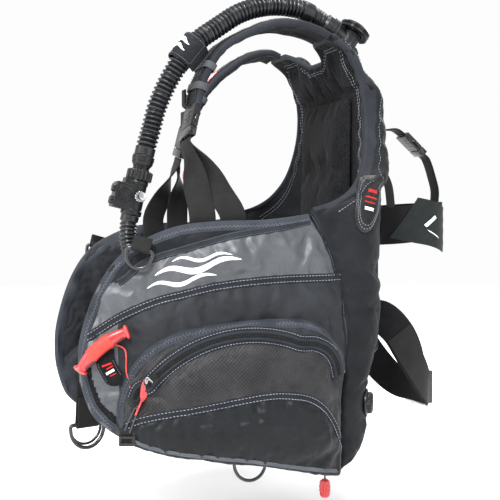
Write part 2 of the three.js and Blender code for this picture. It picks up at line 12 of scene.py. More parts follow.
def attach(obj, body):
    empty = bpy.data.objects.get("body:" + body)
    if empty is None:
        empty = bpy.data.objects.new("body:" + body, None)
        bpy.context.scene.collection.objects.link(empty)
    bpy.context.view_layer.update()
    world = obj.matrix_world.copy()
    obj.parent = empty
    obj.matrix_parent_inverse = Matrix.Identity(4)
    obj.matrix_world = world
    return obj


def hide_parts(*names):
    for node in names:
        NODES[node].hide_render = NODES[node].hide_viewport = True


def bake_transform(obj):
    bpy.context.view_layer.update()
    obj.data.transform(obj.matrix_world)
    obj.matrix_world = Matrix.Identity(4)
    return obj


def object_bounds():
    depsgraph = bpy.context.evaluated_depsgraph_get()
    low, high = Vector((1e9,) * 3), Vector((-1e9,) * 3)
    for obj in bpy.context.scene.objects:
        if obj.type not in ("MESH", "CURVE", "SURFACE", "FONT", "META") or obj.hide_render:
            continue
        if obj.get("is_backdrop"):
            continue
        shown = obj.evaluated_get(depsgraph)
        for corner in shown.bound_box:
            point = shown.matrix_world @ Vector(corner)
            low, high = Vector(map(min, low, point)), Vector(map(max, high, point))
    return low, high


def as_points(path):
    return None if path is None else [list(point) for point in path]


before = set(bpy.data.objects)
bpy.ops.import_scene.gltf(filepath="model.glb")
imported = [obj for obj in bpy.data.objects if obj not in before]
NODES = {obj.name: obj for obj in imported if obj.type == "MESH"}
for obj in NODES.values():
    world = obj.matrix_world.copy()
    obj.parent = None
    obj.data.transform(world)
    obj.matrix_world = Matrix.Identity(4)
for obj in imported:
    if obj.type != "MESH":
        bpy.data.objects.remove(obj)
cad_low, cad_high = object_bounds()
MM = 0.001


def lerp(a, b, t):
    return a + (b - a) * t


def clamp(x, a=0.0, b=1.0):
    return max(a, min(b, x))


def step(x, a, b):
    t = clamp((x - a) / (b - a))
    return t * t * (3 - 2 * t)


def through(knots):
    """A smooth function through (x, y) knots, flat outside them."""
    last = len(knots) - 1
    slope = []
    for i in range(last + 1):
        a, b = knots[max(i - 1, 0)], knots[min(i + 1, last)]
        slope.append((b[1] - a[1]) / (b[0] - a[0]))

    def at(x):
        if x <= knots[0][0]:
            return knots[0][1]
        if x >= knots[last][0]:
            return knots[last][1]
        i = next(k for k in range(last + 1) if knots[k][0] > x) - 1
        w = knots[i + 1][0] - knots[i][0]
        t = (x - knots[i][0]) / w
        a, b = knots[i][1], knots[i + 1][1]
        bend = (1 - t) * w * slope[i] - t * w * slope[i + 1] + (2 * t - 1) * (b - a)
        return lerp(a, b, t) + t * (1 - t) * bend

    return at


def smooth_line(points, count):
    """count + 1 points evenly spaced on a centripetal Catmull-Rom curve through the points."""
    p = [Vector(q) for q in points]
    p = [p[0] * 2 - p[1]] + p + [p[-1] * 2 - p[-2]]
    dense = []
    for i in range(1, len(p) - 2):
        a, b, c, d = p[i - 1], p[i], p[i + 1], p[i + 2]
        t0 = 0.0
        t1 = t0 + max((b - a).length, 1e-9) ** 0.5
        t2 = t1 + max((c - b).length, 1e-9) ** 0.5
        t3 = t2 + max((d - c).length, 1e-9) ** 0.5
        for k in range(24):
            t = lerp(t1, t2, k / 24)
            a1 = a * ((t1 - t) / (t1 - t0)) + b * ((t - t0) / (t1 - t0))
            a2 = b * ((t2 - t) / (t2 - t1)) + c * ((t - t1) / (t2 - t1))
            a3 = c * ((t3 - t) / (t3 - t2)) + d * ((t - t2) / (t3 - t2))
            b1 = a1 * ((t2 - t) / (t2 - t0)) + a2 * ((t - t0) / (t2 - t0))
            b2 = a2 * ((t3 - t) / (t3 - t1)) + a3 * ((t - t1) / (t3 - t1))
            dense.append(b1 * ((t2 - t) / (t2 - t1)) + b2 * ((t - t1) / (t2 - t1)))
    dense.append(p[-2])
    lengths = [0.0]
    for a, b in zip(dense, dense[1:]):
        lengths.append(lengths[-1] + (b - a).length)
    out, k = [], 0
    for i in range(count + 1):
        want = lengths[-1] * i / count
        while k < len(dense) - 2 and lengths[k + 1] < want:
            k += 1
        span = max(lengths[k + 1] - lengths[k], 1e-12)
        out.append(dense[k].lerp(dense[k + 1], clamp((want - lengths[k]) / span)))
    return out


def line_length(points):
    return sum((b - a).length for a, b in zip(points, points[1:]))


# ---- The vest's middle surface, the same as in the CAD source, in millimetres here ----
BACK_HALF, BACK_Y, CORNER_R, CORNER_TURN, LOBE_R = 95.0, -18.0, 60.0, math.radians(86), 760.0
SEAM_S, LOBE_END, POCKET_IN = 174.0, 552.0, 13.4
SEAM_TOP_S, YOKE_Z, HEM_Z = 239, 238, -180


def plan(s):
    corner_end = BACK_HALF + CORNER_R * CORNER_TURN
    if s <= BACK_HALF:
        return s, BACK_Y, 0.0
    if s <= corner_end:
        t = (s - BACK_HALF) / CORNER_R
        return BACK_HALF + CORNER_R * math.sin(t), BACK_Y - CORNER_R * (1 - math.cos(t)), -t
    x, y, h0 = plan(corner_end)
    h = h0 - (s - corner_end) / LOBE_R
    return (
        x + LOBE_R * (math.sin(h0) - math.sin(h)),
        y - LOBE_R * (math.cos(h0) - math.cos(h)),
        h,
    )


def lean(s, z):
    back = -8 * max(0.0, (z - 150) / 88) ** 2 - 26 * step(-z, 40, 230)
    return back * (1 - step(s, 130, 330))


def wrap(side, s, z, off):
    x, y, h = plan(abs(s))
    return Vector((
        side * (x - off * math.sin(h)),
        y + off * math.cos(h) + lean(abs(s), z),
        z,
    )) * MM


def outward(side, s):
    h = plan(abs(s))[2]
    return Vector((-side * math.sin(h), math.cos(h), 0))


lobe_top = through([(239, 50), (303, 42), (366, 40), (419, 34), (460, 19), (492, 0), (520, -34), (540, -78),
    (LOBE_END, -125)])
lobe_bottom = through([(SEAM_S, -307), (246, -297), (339, -281), (440, -265), (500, -243), (534, -215),
    (LOBE_END, -170)])
seam_line = through([(SEAM_S, -126), (188, -76), (202, -26), (220, 20), (239, 50)])
cell_bottom = through([(0, -232), (90, -262), (150, -296), (SEAM_S, -306)])
pocket_top = through([(182, -150), (202, -124), (226, -106), (260, -96), (339, -97), (418, -110),
    (460, -132), (485, -166), (498, -205)])
pocket_rise = through([(0, 0.5), (0.3, 1), (0.62, 0.86), (1, 0.1)])


def swell(t):
    return 1 - (2 * clamp(t) - 1) ** 6


# ---- Materials ----
class Shader:
    """A node tree with a few shortcuts."""

    def __init__(self, name):
        self.m = bpy.data.materials.new(name)
        self.m.use_nodes = True
        self.t = self.m.node_tree
        self.bsdf = self.t.nodes["Principled BSDF"]
        coords = self.t.nodes.new("ShaderNodeTexCoord")
        self.object = coords.outputs["Object"]

    def node(self, kind, **sockets):
        n = self.t.nodes.new(kind)
        for key, value in sockets.items():
            self.put(n, key, value)
        return n

    def put(self, n, key, value):
        numbered = key[0] == "i" and key[1:].isdigit()
        socket = n.inputs[int(key[1:]) if numbered else key.replace("_", " ")]
        if isinstance(value, bpy.types.NodeSocket):
            self.t.links.new(value, socket)
        else:
            socket.default_value = value

    def math(self, op, a, b=0.0, clamped=False):
        n = self.node("ShaderNodeMath", i0=a, i1=b)
        n.operation = op
        n.use_clamp = clamped
        return n.outputs[0]

    def noise(self, scale, detail=4.0, rough=0.6, vector=None, distortion=0.0):
        n = self.node("ShaderNodeTexNoise", Scale=scale, Detail=detail, Roughness=rough,
            Distortion=distortion)
        self.t.links.new(vector or self.object, n.inputs["Vector"])
        return n.outputs["Fac"]

    def ramp(self, fac, stops):
        n = self.node("ShaderNodeValToRGB", Fac=fac)
        while len(n.color_ramp.elements) < len(stops):
            n.color_ramp.elements.new(0.5)
        for e, (at, colour) in zip(n.color_ramp.elements, stops):
            e.position = at
            e.color = (*colour, 1) if len(colour) == 3 else colour
        return n.outputs["Color"]

    def mix(self, fac, a, b):
        n = self.t.nodes.new("ShaderNodeMix")
        n.data_type = "RGBA"
        for socket, value in ((n.inputs[0], fac), (n.inputs[6], a), (n.inputs[7], b)):
            if isinstance(value, bpy.types.NodeSocket):
                self.t.links.new(value, socket)
            else:
                socket.default_value = (*value, 1) if isinstance(value, tuple) and len(value) == 3 else value
        return n.outputs[2]

    def threads(self, pitch, attribute="cloth", turn=0.0):
        """Height of a plain weave from the cloth's own coordinates, from 0 to 1."""
        a = self.t.nodes.new("ShaderNodeAttribute")
        a.attribute_name = attribute
        m = self.node("ShaderNodeMapping", Vector=a.outputs["Vector"])
        m.inputs["Rotation"].default_value = (0, 0, turn)
        m.inputs["Scale"].default_value = (math.pi / pitch,) * 3
        x = self.node("ShaderNodeSeparateXYZ", Vector=m.outputs["Vector"])
        u = self.math("SINE", x.outputs[0])
        v = self.math("SINE", x.outputs[1])
        return self.math("MULTIPLY_ADD", self.math("MULTIPLY", u, v), 0.5), u, v

    def bumps(self, *layers):
        """layers are (height, strength, distance)."""
        last = None
        for height, strength, distance in layers:
            n = self.node("ShaderNodeBump", Height=height, Strength=strength, Distance=distance)
            if last is not None:
                self.t.links.new(last, n.inputs["Normal"])
            last = n.outputs["Normal"]
        self.t.links.new(last, self.bsdf.inputs["Normal"])

    def set(self, **sockets):
        for key, value in sockets.items():
            socket = self.bsdf.inputs[key.replace("_", " ")]
            if isinstance(value, bpy.types.NodeSocket):
                self.t.links.new(value, socket)
            elif isinstance(value, tuple) and len(value) == 3 and socket.type == "RGBA":
                socket.default_value = (*value, 1)
            else:
                socket.default_value = value
        return self.m


def cloth_material(name, dark, light, pitch=0.0016, rough=(0.55, 0.75), sheen=0.03, weave=0.5, crease=0.35,
        grain=0.0, turn=0.0, shine=0.18, wrinkle=0.0):
    """Woven fabric: threads, soft creases, blotchy tone, and the high spots of the weave and grain painted
    lighter with their hollows darker, a painted shade.
    """
    s = Shader(name)
    height, u, v = s.threads(pitch, turn=turn)
    blotch = s.noise(22, 5, 0.62)
    fine = s.noise(420, 3, 0.7)
    # The weave's height lifts the tone, and the fine grain (also a bump) scales the colour: thread tops and
    # grain high spots are painted lighter and the hollows darker, a painted shade.
    tone = s.math("ADD", s.math("MULTIPLY", blotch, 0.75), s.math("MULTIPLY", height, 0.3))
    colour = s.ramp(tone, [(0.25, dark), (0.75, light)])
    fleck_and_shade = s.ramp(fine, [(0.45, (0.86, 0.86, 0.86)), (0.75, (1.22, 1.22, 1.22))])
    m = s.node("ShaderNodeVectorMath", i0=colour, i1=fleck_and_shade)
    m.operation = "MULTIPLY"
    roughness = s.node("ShaderNodeMapRange", Value=s.noise(60, 4), From_Min=0.3, From_Max=0.7,
        To_Min=rough[0], To_Max=rough[1])
    soft = s.noise(38, 3, 0.5, distortion=0.6)
    stretched = s.node("ShaderNodeMapping", Vector=s.object)
    stretched.inputs["Scale"].default_value = (1.0, 1.0, 2.6)
    folds = s.noise(11, 1.5, 0.4, vector=stretched.outputs["Vector"], distortion=0.7)
    layers = [(folds, wrinkle, 0.012), (soft, crease, 0.0016), (height, weave, 0.0004),
        (fine, 0.25 + grain, 0.0002)]
    s.bumps(*layers)
    return s.set(Base_Color=m.outputs[0], Roughness=roughness.outputs[0], Sheen_Weight=sheen,
        Sheen_Roughness=0.4, Specular_IOR_Level=shine)


def webbing_material(name, dark, light, rib=0.0011):
    """Narrow woven tape: ribs across, a herringbone along, fuzzy edges."""
    s = Shader(name)
    a = s.t.nodes.new("ShaderNodeAttribute")
    a.attribute_name = "cloth"
    x = s.node("ShaderNodeSeparateXYZ", Vector=a.outputs["Vector"])
    along = s.math("SINE", s.math("MULTIPLY", x.outputs[0], math.pi / rib))
    zig = s.math("PINGPONG", s.math("MULTIPLY", x.outputs[1], 1 / 0.004), 1.0)
    twill = s.math("SINE", s.math("ADD", s.math("MULTIPLY", x.outputs[0], 2 * math.pi / 0.0022),
        s.math("MULTIPLY", zig, 5.0)))
    height = s.math("ADD", s.math("MULTIPLY", along, 0.3), s.math("MULTIPLY", twill, 0.25))
    # The ribs' and twill's height lifts the tone: their tops are painted lighter and the grooves darker, a
    # painted shade.
    tone = s.math("ADD", s.math("MULTIPLY", s.noise(35, 5), 0.8), s.math("MULTIPLY", height, 0.18))
    colour = s.ramp(tone, [(0.2, dark), (0.75, light)])
    s.bumps((height, 0.55, 0.0004), (s.noise(700, 2), 0.3, 0.0002))
    return s.set(Base_Color=colour, Roughness=0.7, Sheen_Weight=0.03, Sheen_Roughness=0.4,
        Specular_IOR_Level=0.15)


def hard_material(name, dark, light, rough=(0.25, 0.42), metal=0.0, fine=0.12, coat=0.0, scale=260,
        edge_highlight=None, shine=0.5):
    """Moulded plastic, rubber or metal with slight mottling, moulding grain and patchy painted highlights on
    convex edges.
    """
    s = Shader(name)
    tone = s.noise(45, 5, 0.65)
    colour = s.ramp(tone, [(0.3, dark), (0.72, light)])
    if edge_highlight:
        # Convex edges (high pointiness) are painted lighter in patches with the edge_highlight colour: a
        # painted edge highlight.
        g = s.t.nodes.new("ShaderNodeNewGeometry")
        edge = s.ramp(g.outputs["Pointiness"], [(0.51, (0, 0, 0)), (0.6, (1, 1, 1))])
        patchy_edge_highlight = s.math("MULTIPLY", edge, s.noise(90, 4))
        colour = s.mix(patchy_edge_highlight, colour, edge_highlight)
    roughness = s.node("ShaderNodeMapRange", Value=s.noise(120, 5), From_Min=0.3, From_Max=0.7,
        To_Min=rough[0], To_Max=rough[1])
    s.bumps((s.noise(scale, 4), fine, 0.0003))
    return s.set(Base_Color=colour, Roughness=roughness.outputs[0], Metallic=metal, Coat_Weight=coat,
        Coat_Roughness=0.2, Specular_IOR_Level=shine)


def fuzzy_material(name, dark, light):
    """Hook and loop pile."""
    s = Shader(name)
    pile = s.noise(900, 3, 0.8)
    tone = s.math("ADD", s.math("MULTIPLY", pile, 0.7), s.math("MULTIPLY", s.noise(40, 4), 0.4))
    s.bumps((pile, 0.9, 0.0012), (s.noise(260, 4), 0.5, 0.001))
    return s.set(Base_Color=s.ramp(tone, [(0.35, dark), (0.8, light)]), Roughness=0.95, Sheen_Weight=0.05,
        Sheen_Roughness=0.5, Specular_IOR_Level=0.06)


def spacer_material(name, dark, light):
    """Padded spacer mesh with small open cells."""
    s = Shader(name)
    v = s.node("ShaderNodeTexVoronoi", Vector=s.object, Scale=330.0)
    cells = v.outputs["Distance"]
    s.bumps((cells, 0.8, 0.0012))
    # The colour follows the cells' distance field, the same as their bump: the hollow cell middles are
    # painted darker than the rims, a painted shade.
    return s.set(Base_Color=s.ramp(cells, [(0.15, dark), (0.6, light)]), Roughness=0.9, Sheen_Weight=0.03,
        Sheen_Roughness=0.4, Specular_IOR_Level=0.1)


MAT = {"nylon": cloth_material("nylon", (0.006, 0.0068, 0.0082), (0.022, 0.0242, 0.0285), crease=0.8,
    wrinkle=0.5, shine=0.13, rough=(0.5, 0.7)), "shell": cloth_material("shell_nylon",
    (0.004, 0.0044, 0.0052), (0.013, 0.0142, 0.0165), crease=0.8, wrinkle=0.5, shine=0.1),
    "strip": cloth_material("strip_nylon", (0.0045, 0.0052, 0.0065), (0.0115, 0.013, 0.0158), crease=0.6,
    shine=0.1), "coated": cloth_material("coated_nylon", (0.018, 0.0205, 0.024), (0.050, 0.0555, 0.0635),
    rough=(0.40, 0.54), weave=0.2, crease=0.45, grain=0.15, shine=0.5, wrinkle=0.7),
    "coated_blue": cloth_material("coated_blue", (0.0018, 0.0024, 0.0031), (0.0060, 0.0076, 0.0095),
    rough=(0.42, 0.54), weave=0.2, crease=0.8, grain=0.1, shine=0.17, wrinkle=0.6),
    "ballistic": cloth_material("ballistic", (0.004, 0.004, 0.0045), (0.029, 0.0288, 0.0308), pitch=0.0024,
    rough=(0.42, 0.6), weave=1.0, crease=0.7, grain=0.25, shine=0.15, wrinkle=0.5),
    "binding": webbing_material("binding", (0.014, 0.0162, 0.021), (0.036, 0.041, 0.051), rib=0.0016),
    "binding_light": webbing_material("binding_light", (0.045, 0.05, 0.058), (0.09, 0.098, 0.11),
    rib=0.0016), "tape": webbing_material("seam_tape", (0.005, 0.006, 0.008), (0.012, 0.0138, 0.0175),
    rib=0.0014), "tape_blue": webbing_material("strip_tape", (0.008, 0.0095, 0.0125), (0.020, 0.0232, 0.029),
    rib=0.0014), "webbing": webbing_material("webbing", (0.0045, 0.0045, 0.0048), (0.0125, 0.0125, 0.0128)),
    "elastic": webbing_material("grey_elastic", (0.03, 0.032, 0.036), (0.075, 0.08, 0.088), rib=0.0014),
    "thread": webbing_material("pale_thread", (0.15, 0.165, 0.195), (0.30, 0.32, 0.37), rib=0.0006),
    "thread_grey": webbing_material("grey_thread", (0.06, 0.066, 0.08), (0.13, 0.14, 0.165), rib=0.0006),
    "white": webbing_material("white_print", (0.58, 0.59, 0.61), (0.74, 0.75, 0.77), rib=0.0010),
    "red_print": webbing_material("red_print", (0.36, 0.010, 0.010), (0.52, 0.022, 0.02), rib=0.0010),
    "hook": fuzzy_material("hook_and_loop", (0.0012, 0.0012, 0.0015), (0.013, 0.0132, 0.0145)),
    "spacer": spacer_material("spacer_mesh", (0.0018, 0.0018, 0.0022), (0.0085, 0.0088, 0.0098)),
    # The edge_highlight colours below are painted highlights on convex edges.
    "plastic": hard_material("black_plastic", (0.0035, 0.0038, 0.0042), (0.0085, 0.0088, 0.0095),
    rough=(0.24, 0.4), edge_highlight=(0.016, 0.016, 0.0172), shine=0.2),
    "gloss": hard_material("gloss_plastic", (0.003, 0.0033, 0.0036), (0.007, 0.0074, 0.008),
    rough=(0.14, 0.26), edge_highlight=(0.015, 0.015, 0.016), shine=0.27),
    "rubber": hard_material("rubber", (0.0036, 0.0041, 0.0048), (0.010, 0.0112, 0.0128), rough=(0.24, 0.36),
    fine=0.2, edge_highlight=(0.022, 0.024, 0.027), shine=0.3), "red": hard_material("red_plastic",
    (0.34, 0.007, 0.009), (0.47, 0.014, 0.015), rough=(0.24, 0.38), coat=0.25, edge_highlight=(0.62, 0.10, 0.09)),
    "red_grip": hard_material("red_grip", (0.34, 0.015, 0.007), (0.50, 0.030, 0.016), rough=(0.5, 0.65),
    fine=0.9, scale=1400), "red_dark": hard_material("red_dark", (0.05, 0.006, 0.006), (0.12, 0.012, 0.012),
    rough=(0.5, 0.7)), "olive": webbing_material("green_facing", (0.0055, 0.0075, 0.0075),
    (0.013, 0.0162, 0.0165), rib=0.0013), "steel": hard_material("steel", (0.26, 0.265, 0.275),
    (0.42, 0.425, 0.435), rough=(0.2, 0.36), metal=1.0, fine=0.05),
    "black_steel": hard_material("black_steel", (0.008, 0.008, 0.009), (0.012, 0.012, 0.0125),
    rough=(0.16, 0.28), coat=0.1, edge_highlight=(0.05, 0.05, 0.052), shine=0.4),}


# ---- Mesh helpers ----
def new_object(name, verts, faces, mats, face_mat=None, cloth=None, smooth=True, sharp=None):
    me = bpy.data.meshes.new(name)
    me.from_pydata([tuple(v) for v in verts], [], faces)
    ob = bpy.data.objects.new(name, me)
    bpy.context.scene.collection.objects.link(ob)
    for m in ([mats] if isinstance(mats, str) else mats):
        me.materials.append(MAT[m])
    if face_mat:
        me.polygons.foreach_set("material_index", face_mat)
    if smooth:
        me.polygons.foreach_set("use_smooth", [True] * len(me.polygons))
    if cloth is not None:
        a = me.attributes.new("cloth", "FLOAT_VECTOR", "POINT")
        flat = []
        for c in cloth:
            flat.extend((c[0], c[1], c[2] if len(c) > 2 else 0.0))
        a.data.foreach_set("vector", flat)
    bm = bmesh.new()
    bm.from_mesh(me)
    bmesh.ops.recalc_face_normals(bm, faces=bm.faces)
    if sharp:
        for e in bm.edges:
            if len(e.link_faces) == 2 and e.calc_face_angle(0) > math.radians(sharp):
                e.smooth = False
    bm.to_mesh(me)
    bm.free()
    return ob


def closed_sheet(name, nu, nv, front, back, mats, pick=None, coords=None):
    """A closed pad: front(a, b) and back(a, b) are its faces, joined round the rim."""
    verts, cloth, faces, face_mat = [], [], [], []
    for face in (front, back):
        for i in range(nu + 1):
            for j in range(nv + 1):
                a, b = i / nu, j / nv
                verts.append(face(a, b))
                cloth.append(coords(a, b) if coords else (a, b, 0))
    size = (nu + 1) * (nv + 1)

    def at(k, i, j):
        return k * size + i * (nv + 1) + j

    for k in (0, 1):
        for i in range(nu):
            for j in range(nv):
                faces.append((at(k, i, j), at(k, i + 1, j), at(k, i + 1, j + 1), at(k, i, j + 1)))
                face_mat.append(pick((i + 0.5) / nu, (j + 0.5) / nv, k) if pick else 0)
    rim = [(i, 0) for i in range(nu)] + [(nu, j) for j in range(nv)]
    rim += [(i, nv) for i in range(nu, 0, -1)] + [(0, j) for j in range(nv, 0, -1)]
    for (i, j), (p, q) in zip(rim, rim[1:] + rim[:1]):
        faces.append((at(0, i, j), at(0, p, q), at(1, p, q), at(1, i, j)))
        face_mat.append(pick(i / nu, j / nv, 0) if pick else 0)
    return new_object(name, verts, faces, mats, face_mat, cloth)


def sweep(name, line, ring, mat, closed=False, frames=None, caps=True):
    """Sweeps ring(i) = [(side, up), ...] along the line. frames(i, tangent) gives the side axis."""
    n = len(line)
    verts, cloth, faces = [], [], []
    side = None
    along = 0.0
    for i, p in enumerate(line):
        if closed:
            tangent = (line[(i + 1) % n] - line[i - 1]).normalized()
        else:
            tangent = (line[min(i + 1, n - 1)] - line[max(i - 1, 0)]).normalized()
        if i:
            along += (p - line[i - 1]).length
        if frames:
            side = frames(i / (n - 1), tangent)
        elif side is None:
            side = tangent.orthogonal()
        side = (side - tangent * side.dot(tangent)).normalized()
        up = tangent.cross(side)
        for x, y in ring(i / (n - 1)):
            verts.append(p + side * x + up * y)
            cloth.append((along, x, y))
    m = len(ring(0))
    for i in range(n if closed else n - 1):
        for k in range(m):
            a, b = i * m, ((i + 1) % n) * m
            faces.append((a + k, a + (k + 1) % m, b + (k + 1) % m, b + k))
    if not closed and caps:
        faces.append(tuple(range(m)))
        faces.append(tuple(range((n - 1) * m, n * m)))
    return new_object(name, verts, faces, mat, cloth=cloth, sharp=50)


def flat_ring(width, thick):
    """The section of webbing: flat with rounded edges."""
    w, t = width / 2, thick / 2
    r = min(t, 0.0012)
    return [(-w, 0), (-w + r * 0.4, t * 0.75), (-w + r, t), (-w * 0.33, t), (w * 0.33, t), (w - r, t),
        (w - r * 0.4, t * 0.75), (w, 0), (w - r * 0.4, -t * 0.75), (w - r, -t), (w * 0.33, -t),
        (-w * 0.33, -t), (-w + r, -t), (-w + r * 0.4, -t * 0.75)]


def round_ring(r, sides=12):
    return [(r * math.cos(2 * math.pi * k / sides), r * math.sin(2 * math.pi * k / sides))
        for k in range(sides)]


def webbing(name, points, width, thick, across, body, mat="webbing", count=80):
    line = smooth_line([Vector(p) * MM for p in points], count)
    widths = width if callable(width) else (lambda t: width)
    ob = sweep(name, line, lambda t: flat_ring(widths(t) * MM, thick * MM), mat,
        frames=lambda t, tan: Vector(across(t)))
    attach(ob, body)
    return ob


def tube(name, points, r, body, mat, count=60, sides=12, closed=False, ring=None):
    line = smooth_line([Vector(p) * MM for p in points], count)
    ob = sweep(name, line, ring or (lambda t: round_ring(r * MM, sides)), mat, closed=closed)
    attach(ob, body)
    return ob


def free_cord(points):
    """Smooths a short limp cord's points, which run from where it leaves the object, and works out its
    start, length and line, which are not kept.
    """
    line = smooth_line([Vector(p) * MM for p in points], 60)
    tuple(line[0])
    round(line_length(line), 4)
    [tuple(p) for p in line]


def basis(at, up, side):
    z = Vector(up).normalized()
    y = z.cross(Vector(side)).normalized()
    x = y.cross(z)
    m = Matrix((x, y, z)).transposed().to_4x4()
    m.translation = Vector(at) * MM
    return m


def lathe(name, profile, mat, body, matrix, sides=48, ribs=None):
    """Turned piece from [radius, z] points in millimetres. ribs = (count, depth, z0, z1)."""
    verts, faces = [], []
    rings = []
    for r, z in profile:
        if r < 1e-6:
            rings.append([len(verts)])
            verts.append(Vector((0, 0, z)) * MM)
            continue
        row = []
        for k in range(sides):
            t = 2 * math.pi * k / sides
            rr = r
            if ribs and ribs[2] <= z <= ribs[3]:
                rr -= ribs[1] * (0.5 - 0.5 * math.cos(t * ribs[0])) ** 2
            row.append(len(verts))
            verts.append(Vector((rr * math.cos(t), rr * math.sin(t), z)) * MM)
        rings.append(row)
    for a, b in zip(rings, rings[1:]):
        for k in range(sides):
            n = (k + 1) % sides
            if len(a) == 1:
                faces.append((a[0], b[k], b[n]))
            elif len(b) == 1:
                faces.append((a[k], b[0], a[n]))
            else:
                faces.append((a[k], b[k], b[n], a[n]))
    ob = new_object(name, [matrix @ v for v in verts], faces, mat, sharp=28)
    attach(ob, body)
    return ob


def block(name, parts, mat, body, matrix, bevel=1.2, segments=3):
    """Rounded moulded blocks, united: parts are (width, depth, height, x, y, z) in mm."""
    obs = []
    for i, (w, d, h, x, y, z) in enumerate(parts):
        bm = bmesh.new()
        bmesh.ops.create_cube(bm, size=1.0)
        for v in bm.verts:
            v.co = Vector((v.co.x * w + x, v.co.y * d + y, v.co.z * h + z)) * MM
        me = bpy.data.meshes.new(name + str(i))
        bm.to_mesh(me)
        bm.free()
        ob = bpy.data.objects.new(name if i == 0 else name + "_part", me)
        bpy.context.scene.collection.objects.link(ob)
        obs.append(ob)
    first = obs[0]
    for other in obs[1:]:
        m = first.modifiers.new("join", "BOOLEAN")
        m.operation = "UNION"
        m.object = other
        m.solver = "EXACT"
    b = first.modifiers.new("round", "BEVEL")
    b.width = bevel * MM
    b.segments = segments
    b.limit_method = "ANGLE"
    b.angle_limit = math.radians(40)
    b.harden_normals = False
    bake_modifiers(first)
    for other in obs[1:]:
        bpy.data.objects.remove(other)
    first.data.transform(matrix)
    first.data.materials.clear()
    first.data.materials.append(MAT[mat])
    first.data.polygons.foreach_set("use_smooth", [True] * len(first.data.polygons))
    mark_sharp(first, 50)
    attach(first, body)
    return first


def bake_modifiers(ob):
    dg = bpy.context.evaluated_depsgraph_get()
    me = bpy.data.meshes.new_from_object(ob.evaluated_get(dg))
    old = ob.data
    ob.modifiers.clear()
    ob.data = me
    me.name = ob.name
    bpy.data.meshes.remove(old)


def mark_sharp(ob, degrees):
    bm = bmesh.new()
    bm.from_mesh(ob.data)
    for e in bm.edges:
        if len(e.link_faces) == 2 and e.calc_face_angle(0) > math.radians(degrees):
            e.smooth = False
    bm.to_mesh(ob.data)
    bm.free()


def puff(ob, pinned, pressure, cap, shrink=-0.03, frames=18):
    """Blows the fabric up with the cloth solver. Pinned points stay, others move by cap at most."""
    rest = [v.co.copy() for v in ob.data.vertices]
    group = ob.vertex_groups.new(name="rim")
    group.add(pinned, 1.0, "REPLACE")
    m = ob.modifiers.new("Cloth", "CLOTH")
    st = m.settings
    st.quality = 4
    st.mass = 0.15
    st.tension_stiffness = 12
    st.compression_stiffness = 6
    st.shear_stiffness = 4
    st.bending_stiffness = 0.3
    st.use_pressure = True
    st.uniform_pressure_force = pressure
    st.vertex_group_mass = "rim"
    st.shrink_min = shrink
    st.effector_weights.gravity = 0
    m.collision_settings.use_collision = False
    m.point_cache.frame_start = 1
    m.point_cache.frame_end = frames
    scene = bpy.context.scene
    for f in range(1, frames + 1):
        scene.frame_set(f)
    dg = bpy.context.evaluated_depsgraph_get()
    moved = [v.co.copy() for v in ob.evaluated_get(dg).data.vertices]
    ob.modifiers.clear()
    ob.vertex_groups.clear()
    scene.frame_set(1)
    for v, a, b in zip(ob.data.vertices, rest, moved):
        d = b - a
        if d.length > cap * MM:
            d *= cap * MM / d.length
        v.co = a + d


def soften(ob, levels=1):
    m = ob.modifiers.new("Smooth", "SUBSURF")
    m.levels = m.render_levels = levels
    bake_modifiers(ob)
    ob.data.polygons.foreach_set("use_smooth", [True] * len(ob.data.polygons))


def finish_piece(ob, body, slot, *nodes):
    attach(ob, body)
    if nodes:
        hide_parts(*nodes)
    return ob


# ---- Camera and light ----
CAMERA_TURN, CAMERA_TILT, CAMERA_FAR, LENS_MM = math.radians(70), math.radians(1), 1.55, 74.4
back = Vector((math.sin(CAMERA_TURN) * math.cos(CAMERA_TILT), -math.cos(CAMERA_TURN) * math.cos(CAMERA_TILT),
    math.sin(CAMERA_TILT)))
camera = bpy.data.objects.new("camera", bpy.data.cameras.new("camera"))
bpy.context.scene.collection.objects.link(camera)
camera.location = Vector((0, -0.158, 0)) + back * CAMERA_FAR
camera.rotation_euler = back.to_track_quat("Z", "Y").to_euler()
camera.data.lens = LENS_MM
camera.data.sensor_width = 36
camera.data.clip_start = 0.05
bpy.context.scene.camera = camera


def lamp(name, at, aim, size, power, colour=(1, 1, 1)):
    data = bpy.data.lights.new(name, "AREA")
    data.shape = "RECTANGLE"
    data.size, data.size_y = size
    data.energy = power
    data.color = colour
    ob = bpy.data.objects.new(name, data)
    bpy.context.scene.collection.objects.link(ob)
    ob.location = at
    ob.rotation_euler = (Vector(at) - Vector(aim)).to_track_quat("Z", "Y").to_euler()


lamp("key", (1.5, -1.3, 1.6), (0, -0.2, 0), (0.7, 0.7), 95)
lamp("fill", (1.9, 0.9, 0.5), (0, -0.15, 0), (1.2, 1.4), 14)
lamp("front", (0.3, -2.2, 0.3), (0, -0.2, 0), (1.0, 1.4), 22)
lamp("top", (0.2, 0.1, 1.9), (0, -0.15, 0.1), (1.4, 1.0), 44)
lamp("behind", (-1.4, 1.3, 0.9), (0, -0.1, 0), (1.2, 1.2), 24)
world = bpy.data.worlds.new("studio")
bpy.context.scene.world = world
world.use_nodes = True
world.node_tree.nodes["Background"].inputs["Color"].default_value = (1, 1, 1, 1)
world.node_tree.nodes["Background"].inputs["Strength"].default_value = 0.98
floor_z = cad_low.z - 0.012
verts = [(-6, -6, floor_z), (6, -6, floor_z), (6, 6, floor_z), (-6, 6, floor_z)]
floor_mesh = bpy.data.meshes.new("floor")
floor_mesh.from_pydata(verts, [], [(0, 1, 2, 3)])
floor = bpy.data.objects.new("floor", floor_mesh)
bpy.context.scene.collection.objects.link(floor)
paper = Shader("paper")
paper.bumps((paper.noise(3), 0.02, 0.01))
